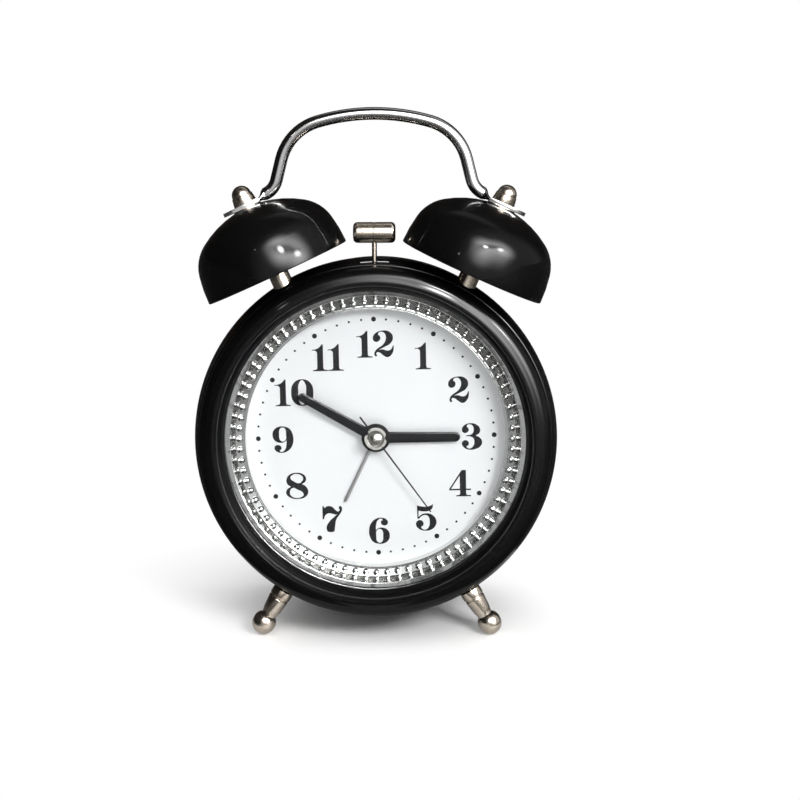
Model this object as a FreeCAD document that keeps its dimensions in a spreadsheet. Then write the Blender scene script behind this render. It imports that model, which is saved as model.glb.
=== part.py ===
import FreeCAD, Part
import math
import os

import Sketcher
from FreeCAD import Placement, Rotation, Vector

# Twin-bell alarm clock, in millimetres. The pieces are drawn in the clock's own frame: +Y runs from the dial
# to the back along the case's axis, y = 0 is the joint of bezel and case, +Z is the twelve o'clock direction.
# At the end the whole clock leans back on its feet, and the origin goes under the middle of its box.

SIZES = {
    # Case, a spun drum with a neck for the bezel and a rolled rear edge
    "case_radius": 58.5,
    "case_wall": 0.8,
    "case_front_drop": 2.2,
    "case_crown_depth": 7.0,
    "case_taper_start": 10.0,
    "case_depth": 44.5,
    "case_rear_drop": 2.7,
    "rear_bead": 1.0,
    "neck_drop": 3.3,
    "neck_length": 1.6,
    "joint_gap": 0.3,
    # Bezel, a hollow half-round ring; its crest, step and opening are measured in from its outside
    "bezel_drop": 2.2,
    "bezel_wall": 1.0,
    "bezel_height": 6.6,
    "bezel_crest_inset": 3.1,
    "bezel_skirt": 2.0,
    "bezel_step_inset": 5.9,
    "bezel_step_height": 3.3,
    "bezel_width": 8.2,
    "bezel_lip_depth": 0.9,
    # Lens, beaded ring and dial, stacked in the movement frame; the ring is measured in from the stack's edge
    "stack_drop": 8.1,
    "stack_play": 0.2,
    "lens_thickness": 1.3,
    "ring_flange": 1.2,
    "ring_rim_inset": 3.6,
    "ring_shelf_inset": 5.1,
    "ring_shelf_depth": 3.6,
    "ring_width": 8.4,
    "ring_lip_width": 0.6,
    "ring_lip_height": 0.5,
    "ring_wall": 1.1,
    "ring_depth": 8.3,
    "bead_inset": 6.45,
    "bead_radius": 1.1,
    "bead_height": 0.95,
    "bead_count": 80,
    "dial_thickness": 0.5,
    # Movement frame
    "frame_rim_wall": 1.6,
    "frame_floor": 2.0,
    "frame_play": 0.7,
    "frame_hole": 9.0,
    "post_inset": 5.3,
    "post_radius": 3.2,
    # Hands: heights are from the dial to the back of each hand
    "alarm_hand_height": 0.7,
    "hour_hand_height": 1.5,
    "minute_hand_height": 2.4,
    "seconds_hand_height": 3.2,
    "alarm_hand_thickness": 0.25,
    "hour_hand_thickness": 0.35,
    "minute_hand_thickness": 0.35,
    "seconds_hand_thickness": 0.2,
    "alarm_hand_length": 23.8,
    "hour_hand_length": 27.3,
    "minute_hand_length": 28.5,
    "seconds_hand_length": 30.1,
    "seconds_hand_tail": 8.7,
    "alarm_hand_width": 1.1,
    "hour_hand_width": 3.8,
    "minute_hand_width": 3.5,
    "seconds_hand_width": 0.5,
    "alarm_hand_tip_width": 1.1,
    "hour_hand_tip_width": 3.2,
    "minute_hand_tip_width": 2.76,
    "seconds_hand_tip_width": 0.4,
    "alarm_hub_radius": 3.0,
    "hour_hub_radius": 4.0,
    "minute_hub_radius": 4.65,
    "seconds_hub_radius": 1.8,
    "cap_radius": 3.7,
    "cap_cut": 0.6,
    # Directions of the hands at rest, in degrees clockwise from twelve
    "alarm_hand_angle": 205.7,
    "hour_hand_angle": 89.5,
    "minute_hand_angle": 299.2,
    "seconds_hand_angle": 143.8,
    # Arbors and tubes round the centre, and the fit between them
    "running_fit": 0.05,
    "seconds_arbor": 0.5,
    "tube_wall": 0.6,
    "bush_wall": 1.4,
    # Movement housing
    "housing_half_width": 28.0,
    "housing_top": 26.0,
    "housing_bottom": 25.0,
    "housing_depth": 16.6,
    "housing_wall": 1.2,
    "housing_split": 8.3,
    "housing_corner": 3.0,
    "screw_x": 24.5,
    "screw_z": 21.0,
    "screw_radius": 1.2,
    "screw_head_radius": 2.3,
    "screw_head_height": 1.3,
    # Gear train: centre distances, and widths of the wheels
    "setting_distance": 12.0,
    "setting_angle": 30.0,
    "third_distance": 10.8,
    "wheel_width": 1.2,
    "fine_wheel_width": 1.0,
    "wheel_gap": 0.5,
    "setting_arbor": 1.0,
    # Bells, pressed shells on sleeved studs that lean outwards
    "bell_radius": 24.0,
    "bell_height": 22.2,
    "bell_wall": 1.0,
    "bell_side_radius": 23.1,
    "bell_side_height": 8.9,
    "bell_shoulder_radius": 17.5,
    "bell_shoulder_height": 17.2,
    "bell_seat_radius": 4.8,
    "bell_x": 30.9,
    "bell_sink": 4.5,
    "bell_plane": 5.0,
    "bell_lean": 24.5,
    "bell_lip": 0.3,
    "bell_post_radius": 3.25,
    "stud_radius": 1.75,
    "stud_fit": 0.05,
    "washer_radius": 4.6,
    "washer_thickness": 0.3,
    "inner_nut_seat": 6.7,
    "inner_nut_height": 2.2,
    "inner_nut_radius": 3.3,
    "dome_nut_radius": 3.8,
    "dome_nut_neck": 3.4,
    "dome_nut_height": 6.0,
    "dome_radius": 3.15,
    # Handle, a round rod with flattened and pierced ends
    "rod_radius": 2.0,
    "tab_thickness": 1.2,
    "tab_width": 7.4,
    "tab_end": 4.2,
    "tab_neck": 4.4,
    "tab_taper": 2.5,
    "tab_drop": 0.8,
    "handle_rise": 49.7,
    "handle_crown_radius": 64.4,
    "handle_crown_slope": 16.4,
    "handle_side_slope": 14.1,
    "handle_side_reach": 10.1,
    "handle_bend": 16.5,
    "handle_foot_bend": 6.5,
    # Legs, turned, with a threaded end through the case
    "leg_plane": 6.5,
    "leg_angle": 31.3,
    "leg_length": 12.76,
    "leg_ball": 3.8,
    "leg_collar_radius": 3.45,
    "leg_collar": 2.8,
    "leg_groove": 0.35,
    "leg_top_radius": 3.3,
    "leg_neck_radius": 2.5,
    "leg_stub_radius": 1.9,
    "leg_stub_length": 5.0,
    "leg_nut_seat": 2.3,
    "leg_flat": 0.12,
    # Hammer
    "hammer_rise": 7.9,
    "hammer_length": 13.4,
    "hammer_radius": 3.3,
    "hammer_edge": 1.4,
    "hammer_seam": 0.2,
    "hammer_rod_radius": 0.8,
    "hammer_rod_drop": 3.6,
    "hammer_rod_bend": 2.2,
    "slot_half_width": 4.7,
    "slot_front": 1.1,
    "slot_length": 8.9,
    "pivot_height": 33.0,
    "pivot_radius": 1.0,
    "lever_setback": 2.3,
    "lever_hub": 3.0,
    "lever_stem": 11.0,
    "armature_reach": 17.0,
    "armature_rise": 2.6,
    "armature_height": 2.0,
    "coil_x": 12.5,
    "coil_radius": 4.2,
    "coil_setback": 5.0,
    "core_radius": 2.0,
    "bracket_plate": 1.2,
    "ear_plate": 1.0,
    # Battery bay
    "cell_radius": 7.0,
    "cell_length": 49.2,
    "cell_tip": 1.1,
    "cell_tip_radius": 2.7,
    "cell_play": 0.2,
    "cell_height": 36.5,
    "bay_half_length": 28.2,
    "bay_wall": 1.2,
    "bay_ledge": 0.8,
    "contact_plate": 0.4,
    "spring_wire": 0.4,
    "spring_turns": 3.0,
    # Rear cover and what works through it
    "cover_thickness": 1.5,
    "cover_recess": 1.5,
    "door_fit": 0.15,
    "knob_radius": 5.6,
    "knob_height": 5.5,
    "knob_gap": 0.3,
    "flute_count": 12.0,
    "flute_radius": 0.8,
    "switch_height": 20.0,
    "switch_travel": 5.0,
    "switch_neck_width": 3.0,
    "switch_neck_height": 3.0,
    "switch_grip_width": 5.0,
    "switch_grip_height": 6.0,
    "switch_grip": 2.4,
    # Stepper motor and circuit board
    "motor_width": 22.0,
    "motor_height": 11.0,
    "motor_depth": 3.4,
    "motor_place": 10.5,
    "board_width": 38.0,
    "board_height": 19.0,
    "board_place": 4.0,
    "board_thickness": 1.0,
}

os.makedirs("parts", exist_ok=True)
doc = FreeCAD.newDocument("bell_alarm_clock")
sheet = doc.addObject("Spreadsheet::Sheet", "Sizes")
for row, (alias, number) in enumerate(SIZES.items(), start=1):
    sheet.set(f"A{row}", alias.replace("_", " "))
    sheet.set(f"B{row}", str(number))
    sheet.setAlias(f"B{row}", alias)
doc.recompute()


class Size:
    """A length or an angle: its number, and the sheet formula that gives it."""

    def __init__(self, number, formula=None):
        self.number = float(number)
        self.formula = formula if formula else f"({self.number:.6f})"

    def bound(self):
        return "Sizes." in self.formula

    def join(self, other, sign, swapped=False):
        other = as_size(other)
        left, right = (other, self) if swapped else (self, other)
        number = {
            "+": lambda: left.number + right.number,
            "-": lambda: left.number - right.number,
            "*": lambda: left.number * right.number,
            "/": lambda: left.number / right.number,
        }[sign]()
        return Size(number, f"({left.formula} {sign} {right.formula})")

    def __add__(self, other):
        return self.join(other, "+")

    def __radd__(self, other):
        return self.join(other, "+", swapped=True)

    def __sub__(self, other):
        return self.join(other, "-")

    def __rsub__(self, other):
        return self.join(other, "-", swapped=True)

    def __mul__(self, other):
        return self.join(other, "*")

    def __rmul__(self, other):
        return self.join(other, "*", swapped=True)

    def __truediv__(self, other):
        return self.join(other, "/")

    def __rtruediv__(self, other):
        return self.join(other, "/", swapped=True)

    def __neg__(self):
        return self.join(-1.0, "*")

    def __float__(self):
        return self.number


class Sheet:
    """Reads a named size from the sheet."""

    def __getattr__(self, alias):
        return Size(getattr(sheet, alias), f"Sizes.{alias}")


def as_size(value):
    return value if isinstance(value, Size) else Size(value)


def sine(angle):
    return Size(math.sin(math.radians(angle.number)), f"sin({angle.formula})")


def cosine(angle):
    return Size(math.cos(math.radians(angle.number)), f"cos({angle.formula})")


def root(value):
    return Size(math.sqrt(value.number), f"sqrt({value.formula})")


def vector(x, y, z):
    return Vector(float(x), float(y), float(z))


size = Sheet()
PARTS = []
QUARTER = (math.sqrt(2) - 1) / 2


# Drawing helpers

def new_body(label):
    body = doc.addObject("PartDesign::Body", label)
    body.Label = label
    PARTS.append(body)
    return body


def new_shape(label, shape):
    feature = doc.addObject("Part::Feature", label)
    feature.Label = label
    feature.Shape = shape
    PARTS.append(feature)
    return feature


def origin_feature(body, role):
    return next(feature for feature in body.Origin.OriginFeatures if feature.Role == role)


def new_sketch(body, role, offset=None):
    sketch = body.newObject("Sketcher::SketchObject", f"{body.Name}_outline")
    sketch.AttachmentSupport = [(origin_feature(body, role), "")]
    sketch.MapMode = "FlatFace"
    if offset is not None:
        sketch.AttachmentOffset = offset
    return sketch


def fix_point(sketch, geometry, point, place):
    for kind, value in zip(("DistanceX", "DistanceY"), place):
        value = as_size(value)
        index = sketch.addConstraint(Sketcher.Constraint(kind, -1, 1, geometry, point, value.number))
        if value.bound():
            sketch.setExpression(f"Constraints[{index}]", value.formula)


def draw_outline(sketch, corners):
    """A closed outline, drawn anticlockwise. A corner is (x, y), or (x, y, bow) where an arc leads to it: bow is
    the arc's height over its chord, positive where it bulges out. An arc that ends at x = 0 is part of a dome."""
    corners = [tuple(as_size(value) for value in corner) for corner in corners]
    joints = []
    for start, end in zip(corners, corners[1:] + corners[:1]):
        a, b = vector(start[0], start[1], 0), vector(end[0], end[1], 0)
        if len(end) == 2:
            edge = sketch.addGeometry(Part.LineSegment(a, b))
            joints.append((edge, 1, 2))
            continue
        crown = ((start[0] + end[0]) / 2 + (end[1] - start[1]) * end[2],
                 (start[1] + end[1]) / 2 - (end[0] - start[0]) * end[2])
        c = vector(crown[0], crown[1], 0)
        if end[2].number > 0:
            edge = sketch.addGeometry(Part.Arc(a, c, b))
            joints.append((edge, 1, 2))
        else:
            edge = sketch.addGeometry(Part.Arc(b, c, a))
            joints.append((edge, 2, 1))
        if start[0].number == 0 or end[0].number == 0:
            # a dome: its centre stays on the axis that it is turned round
            sketch.addConstraint(Sketcher.Constraint("PointOnObject", edge, 3, -2))
            continue
        helper = sketch.addGeometry(Part.Point(c), True)
        fix_point(sketch, helper, 1, crown)
        sketch.addConstraint(Sketcher.Constraint("PointOnObject", helper, 1, edge))
    for joint, following, corner in zip(joints, joints[1:] + joints[:1], corners[1:] + corners[:1]):
        edge, _, finish = joint
        next_edge, begin, _ = following
        sketch.addConstraint(Sketcher.Constraint("Coincident", edge, finish, next_edge, begin))
        fix_point(sketch, edge, finish, corner[:2])


def draw_circle(sketch, x, y, radius):
    x, y, radius = as_size(x), as_size(y), as_size(radius)
    circle = sketch.addGeometry(Part.Circle(vector(x, y, 0), Vector(0, 0, 1), radius.number))
    fix_point(sketch, circle, 3, (x, y))
    index = sketch.addConstraint(Sketcher.Constraint("Radius", circle, radius.number))
    if radius.bound():
        sketch.setExpression(f"Constraints[{index}]", radius.formula)


def box_corners(left, bottom, right, top):
    return [(left, bottom), (right, bottom), (right, top), (left, top)]


def rounded_box(left, bottom, right, top, corner):
    """A rectangle with quarter-round corners."""
    return [
        (left + corner, bottom, QUARTER), (right - corner, bottom), (right, bottom + corner, QUARTER),
        (right, top - corner), (right - corner, top, QUARTER), (left + corner, top),
        (left, top - corner, QUARTER), (left, bottom + corner),
    ]


def set_length(feature, name, value):
    value = as_size(value)
    setattr(feature, name, value.number)
    if value.bound():
        feature.setExpression(name, value.formula)


def spin(body, corners):
    """Turns an outline of (radius, height) round the body's Z axis."""
    sketch = new_sketch(body, "XZ_Plane")
    draw_outline(sketch, corners)
    feature = body.newObject("PartDesign::Revolution", f"{body.Name}_turned")
    feature.Profile = sketch
    feature.ReferenceAxis = (sketch, ["V_Axis"])
    feature.Angle = 360
    return feature


def raised(body, length, offset=None, outlines=(), circles=(), taper=None):
    """Pads outlines of the body's XY plane along +Z."""
    sketch = new_sketch(body, "XY_Plane", offset)
    for corners in outlines:
        draw_outline(sketch, corners)
    for circle in circles:
        draw_circle(sketch, *circle)
    feature = body.newObject("PartDesign::Pad", f"{body.Name}_pad")
    feature.Profile = sketch
    set_length(feature, "Length", length)
    if taper is not None:
        feature.TaperAngle = taper
    return feature


def sunk(body, length, offset=None, outlines=(), circles=(), both_ways=True):
    """Cuts outlines of the body's XY plane out of it, half of the length to each side of the plane."""
    sketch = new_sketch(body, "XY_Plane", offset)
    for corners in outlines:
        draw_outline(sketch, corners)
    for circle in circles:
        draw_circle(sketch, *circle)
    feature = body.newObject("PartDesign::Pocket", f"{body.Name}_cut")
    feature.Profile = sketch
    set_length(feature, "Length", length)
    if both_ways:
        feature.Midplane = True
    return feature


def around(body, feature, count):
    """Repeats a feature round the body's Z axis."""
    pattern = body.newObject("PartDesign::PolarPattern", f"{body.Name}_round")
    pattern.Originals = [feature]
    pattern.Axis = (origin_feature(body, "Z_Axis"), [""])
    pattern.Angle = 360
    pattern.Occurrences = int(round(float(count)))
    body.Tip = pattern
    return pattern


def lifted(height):
    return Placement(vector(0, 0, height), Rotation())


def facing(point, direction):
    """A sketch plane through a point of the body, with its normal along a direction."""
    return Placement(point, Rotation(Vector(0, 0, 1), direction))


def turned(label, corners, place):
    body = new_body(label)
    spin(body, corners)
    body.Placement = place
    return body


# Places: local Z runs to the back for turned pieces, and to the viewer for flat ones drawn as seen from the front

def from_front(x=0, y=0, z=0):
    return Placement(vector(x, y, z), Rotation(Vector(1, 0, 0), -90))


def front_view(x=0, y=0, z=0, clockwise=0):
    tilt = Placement(vector(x, y, z), Rotation(Vector(1, 0, 0), 90))
    return tilt.multiply(Placement(Vector(), Rotation(Vector(0, 0, 1), -float(clockwise))))


def on_bell_axis(side, height=0):
    lean = Rotation(Vector(0, 1, 0), side * float(size.bell_lean))
    foot = Placement(vector(side * size.bell_x, size.bell_plane, bell_base), lean)
    return foot.multiply(lifted(height))


def on_leg_axis(side):
    turn = Rotation(Vector(0, 1, 0), side * (180 - float(size.leg_angle)))
    return Placement(vector(0, size.leg_plane, 0), turn)


SIDES = (("left", -1), ("right", 1))

# Radii and heights that follow the case's radius

case_front = size.case_radius - size.case_front_drop
case_rear = size.case_radius - size.case_rear_drop
case_bore = size.case_radius - size.case_wall
neck_outside = size.case_radius - size.neck_drop
bezel_outside = size.case_radius - size.bezel_drop
bezel_crest = bezel_outside - size.bezel_crest_inset
bezel_step = bezel_outside - size.bezel_step_inset
bezel_opening = bezel_outside - size.bezel_width
stack_edge = size.case_radius - size.stack_drop
ring_rim = stack_edge - size.ring_rim_inset
ring_shelf = stack_edge - size.ring_shelf_inset
ring_opening = stack_edge - size.ring_width
bead_circle = stack_edge - size.bead_inset
post_circle = case_rear - size.post_inset
bell_base = size.case_radius - size.bell_sink
leg_reach = size.case_radius + size.leg_length
hammer_level = size.case_radius + size.hammer_rise
hammer_rod_shelf = size.case_radius - size.hammer_rod_drop
handle_top = bell_base + size.handle_rise

# Depths along the case's axis that more than one piece uses

lens_front = size.bezel_lip_depth
lens_back = lens_front + size.lens_thickness
dial_face = lens_back + size.ring_depth
dial_back = dial_face + size.dial_thickness
frame_back = dial_back + size.frame_floor
housing_back = frame_back + size.housing_depth
cover_back = size.case_depth - size.cover_recess
cover_front = cover_back - size.cover_thickness


# The clock leans back until both ball feet, cut a little flat, and the case's rear bead stand on the table

foot_height = float(leg_reach * cosine(size.leg_angle))
stand = float(size.leg_ball - size.leg_flat - size.rear_bead)
span = float(size.case_depth - size.rear_bead - size.leg_plane)
drop = foot_height - float(case_rear)
lean = math.degrees(math.atan2(drop, span) + math.asin(stand / math.hypot(span, drop)))
down = Vector(0, math.sin(math.radians(lean)), -math.cos(math.radians(lean)))


# Case shell: spun steel drum

CROWN_BOW = 0.08


def make_case():
    wall = size.case_wall
    bead_front = size.case_depth - 2 * size.rear_bead
    case = turned("case_shell", [
        (neck_outside - wall, -size.neck_length),
        (neck_outside, -size.neck_length),
        (neck_outside, size.joint_gap),
        (case_front, size.joint_gap),
        (size.case_radius, size.case_crown_depth, CROWN_BOW),
        (size.case_radius, size.case_taper_start),
        (case_rear, bead_front),
        (case_rear, size.case_depth, 0.5),
        (case_rear - wall, size.case_depth),
        (case_rear - wall, bead_front),
        (case_bore, size.case_taper_start),
        (case_bore, size.case_crown_depth),
        (case_front - wall, size.joint_gap + wall),
        (neck_outside - wall, size.joint_gap + wall),
    ], from_front())
    reach = 6 * size.case_wall + 2 * size.rear_bead
    # a hole for each bell stud, along the bell's axis; in the body's own axes the clock's up is -Y
    for _, side in SIDES:
        axis = vector(side * sine(size.bell_lean), -cosine(size.bell_lean), 0)
        foot = vector(side * size.bell_x, -bell_base, size.bell_plane) - axis * 4.2
        sunk(case, reach, facing(foot, axis), circles=[(0, 0, size.stud_radius + size.stud_fit)])
    for _, side in SIDES:
        axis = vector(side * sine(size.leg_angle), cosine(size.leg_angle), 0)
        foot = axis * float(size.case_radius) + vector(0, 0, size.leg_plane)
        sunk(case, reach, facing(foot, axis), circles=[(0, 0, size.leg_stub_radius + size.stud_fit)])
    top = Placement(vector(0, -size.case_radius, 0), Rotation(Vector(1, 0, 0), 90))
    end_bow = 0.3
    sunk(case, reach, top, outlines=[[
        (-size.slot_half_width, size.slot_front + 1.5),
        (-size.slot_half_width + 1.5, size.slot_front, end_bow),
        (size.slot_half_width - 1.5, size.slot_front),
        (size.slot_half_width, size.slot_front + 1.5, end_bow),
        (size.slot_half_width, size.slot_front + size.slot_length),
        (-size.slot_half_width, size.slot_front + size.slot_length),
    ]])


# Front bezel: hollow half-round ring, pushed over the neck

def make_bezel():
    wall = size.bezel_wall
    round_bow = 0.19
    turned("front_bezel", [
        (bezel_opening, -0.9),
        (bezel_step, -size.bezel_step_height, 0.12),
        (bezel_crest, -size.bezel_height, round_bow),
        (bezel_outside, -size.bezel_skirt, round_bow),
        (bezel_outside, 0),
        (bezel_outside - wall, 0),
        (bezel_outside - wall, -size.bezel_skirt),
        (bezel_crest + 1, wall - size.bezel_height + 0.4),
        (bezel_crest - 1, wall - size.bezel_height + 0.4),
        (bezel_step + wall, wall - size.bezel_step_height),
        (bezel_opening + wall, -0.5),
        (bezel_opening + wall, size.bezel_lip_depth),
        (bezel_opening, size.bezel_lip_depth),
    ], from_front())


# Lens: clear disc with a broken front edge

def make_lens():
    chamfer = 0.2
    turned("lens", [
        (0, lens_front),
        (stack_edge - chamfer, lens_front),
        (stack_edge, lens_front + chamfer),
        (stack_edge, lens_back),
        (0, lens_back),
    ], from_front())


# Beaded ring: plated dish from the lens down to the dial, with a bead band on its shelf

def make_beaded_ring():
    wall = size.ring_wall
    shelf = lens_back + size.ring_shelf_depth
    lip = shelf - size.ring_lip_height
    ring = turned("beaded_ring", [
        (ring_opening, lip),
        (ring_opening + size.ring_lip_width, lip),
        (ring_opening + size.ring_lip_width, shelf),
        (ring_shelf, shelf),
        (ring_rim, lens_back, -0.12),
        (stack_edge, lens_back),
        (stack_edge, lens_back + size.ring_flange),
        (ring_rim + wall, lens_back + size.ring_flange),
        (ring_shelf + wall, shelf + wall),
        (ring_opening + wall, shelf + wall),
        (ring_opening + wall, dial_face),
        (ring_opening, dial_face),
    ], from_front())
    flat = size.bead_radius * 0.92
    half = size.bead_radius * 0.46
    tall = size.bead_radius * 0.8
    bead = raised(ring, size.bead_height + 0.3, Placement(vector(0, 0, shelf + 0.3), Rotation(Vector(1, 0, 0), 180)),
                  outlines=[[
                      (bead_circle + flat, 0), (bead_circle + half, tall),
                      (bead_circle - half, tall), (bead_circle - flat, 0),
                      (bead_circle - half, -tall), (bead_circle + half, -tall)]], taper=-30)
    around(ring, bead, size.bead_count)


# Dial plate: painted disc, pierced for the bush

def make_dial():
    bush = centre_tubes()["bush"] + 0.1
    turned("dial_plate", [
        (bush, dial_face), (stack_edge, dial_face), (stack_edge, dial_back), (bush, dial_back),
    ], from_front())


# Radii of the nested tubes that carry the hands

def centre_tubes():
    fit, wall = size.running_fit, size.tube_wall
    minute = size.seconds_arbor + fit + wall
    hour = minute + fit + wall
    alarm = hour + fit + wall
    return {"minute": minute, "hour": hour, "alarm": alarm, "bush": alarm + fit + size.bush_wall}


# Movement frame: moulded cup and flange behind the dial, with posts for the rear cover's screws

POST_ANGLES = (35.0, 145.0, 270.0)
COVER_SCREW_DEPTH = 9.0


def post_places():
    for angle in POST_ANGLES:
        turn = math.radians(angle)
        yield post_circle * math.cos(turn), post_circle * math.sin(turn)


def make_frame():
    rim_bore = stack_edge + size.stack_play
    rim = rim_bore + size.frame_rim_wall
    outer = case_bore - size.frame_play
    frame = turned("movement_frame", [
        (size.frame_hole, dial_back), (rim_bore, dial_back), (rim_bore, lens_front + 0.3),
        (rim, lens_front + 0.3), (rim, dial_back), (outer, dial_back), (outer, frame_back),
        (size.frame_hole, frame_back),
    ], from_front())
    # in the body's own axes the clock's up is -Y
    places = [(x, -z) for x, z in post_places()]
    raised(frame, cover_front - frame_back, lifted(frame_back), circles=[(x, y, size.post_radius) for x, y in places])
    sunk(frame, 2 * COVER_SCREW_DEPTH, lifted(cover_front),
         circles=[(x, y, size.screw_radius) for x, y in places])
    sunk(frame, 2 * (size.frame_floor - 0.6), lifted(frame_back), circles=[
        (x * size.screw_x, y * size.screw_z, size.screw_radius) for x in (-1, 1) for y in (-1, 1)])
    notch = size.slot_half_width + 0.6
    sunk(frame, 3 * size.frame_floor, lifted(frame_back), outlines=[
        box_corners(-notch, -outer - 1, notch, -rim - 0.4)])


# Hands: flat bars on a round hub, a little narrower to their round tips

def make_hand(label, kind, bore, tail=None, clockwise=0):
    length = getattr(size, f"{kind}_hand_length")
    width = getattr(size, f"{kind}_hand_width")
    thickness = getattr(size, f"{kind}_hand_thickness")
    hub = getattr(size, f"{kind}_hub_radius")
    back = dial_face - getattr(size, f"{kind}_hand_height")
    body = new_body(label)
    raised(body, thickness, circles=[(0, 0, hub)])
    half = width / 2
    tip = getattr(size, f"{kind}_hand_tip_width") / 2
    foot = -(tail if tail else hub / 2)
    raised(body, thickness, outlines=[[
        (-half, foot), (half, foot), (half, 0), (tip, length - tip), (-tip, length - tip, 0.5), (-half, 0)]])
    sunk(body, 4 * thickness, circles=[(0, 0, bore)])
    body.Placement = front_view(0, back, 0, clockwise)
    return back - thickness


def make_hands():
    tubes = centre_tubes()
    make_hand("alarm_hand", "alarm", tubes["alarm"], clockwise=size.alarm_hand_angle)
    make_hand("hour_hand", "hour", tubes["hour"], clockwise=size.hour_hand_angle)
    make_hand("minute_hand", "minute", tubes["minute"], clockwise=size.minute_hand_angle)
    front = make_hand("seconds_hand", "seconds", size.seconds_arbor, size.seconds_hand_tail, size.seconds_hand_angle)
    # the cap is a ball cut flat at its back, pushed on the tip of the seconds arbor
    middle = front - size.cap_cut
    chord = root(size.cap_radius * size.cap_radius - size.cap_cut * size.cap_cut)
    blind = size.cap_radius / 2
    turned("hand_cap", [
        (0, middle - size.cap_radius),
        (size.cap_radius, middle, QUARTER),
        (chord, front, 0.02),
        (size.seconds_arbor, front),
        (size.seconds_arbor, front - blind),
        (0, front - blind),
    ], from_front())


# Gear teeth with straight flanks. A tooth's half widths at root, pitch circle and tip are shares of the pitch,
# and its heights are in modules: wheels have short teeth and pinions long ones, so that no flank is undercut

WHEEL_TOOTH = {"tip": 0.5, "root": 1.05, "half_widths": (0.30, 0.19, 0.10)}
PINION_TOOTH = {"tip": 0.85, "root": 0.75, "half_widths": (0.30, 0.19, 0.06)}


def gear_solid(teeth, pitch_radius, width, phase, wheel):
    """A gear with a tooth centred at the phase, in degrees from the local X axis."""
    form = WHEEL_TOOTH if wheel else PINION_TOOTH
    module = 2 * pitch_radius / teeth
    radii = (pitch_radius - form["root"] * module, pitch_radius, pitch_radius + form["tip"] * module)
    flank = list(zip(form["half_widths"], radii))
    tooth_outline = [(-share, radius) for share, radius in flank] + list(reversed(flank))
    points = []
    for tooth in range(teeth):
        for share, radius in tooth_outline:
            angle = math.radians(phase) + (tooth + share) * 2 * math.pi / teeth
            points.append(Vector(radius * math.cos(angle), radius * math.sin(angle), 0))
    return Part.Face(Part.makePolygon(points + points[:1])).extrude(Vector(0, 0, width))


# Teeth of each pair, driver first
MINUTE_TEETH = (12, 36)
HOUR_TEETH = (10, 40)
ALARM_TEETH = (24, 24)
THIRD_TEETH = (8, 60)
SECONDS_TEETH = (8, 64)


def gear_pair(teeth, distance, direction):
    """Pitch radii of two meshed gears, with the first one at the centre, and the phases that put a tooth of the
    first in a gap of the second on the line between them."""
    first, second = teeth
    total = first + second
    return distance * first / total, distance * second / total, direction, direction + 180 + 180 / second


def hollow_rod(radius, bore, bottom, top):
    rod = Part.makeCylinder(radius, top - bottom, Vector(0, 0, bottom))
    if bore:
        rod = rod.cut(Part.makeCylinder(bore, top - bottom + 2, Vector(0, 0, bottom - 1)))
    return rod


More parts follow.
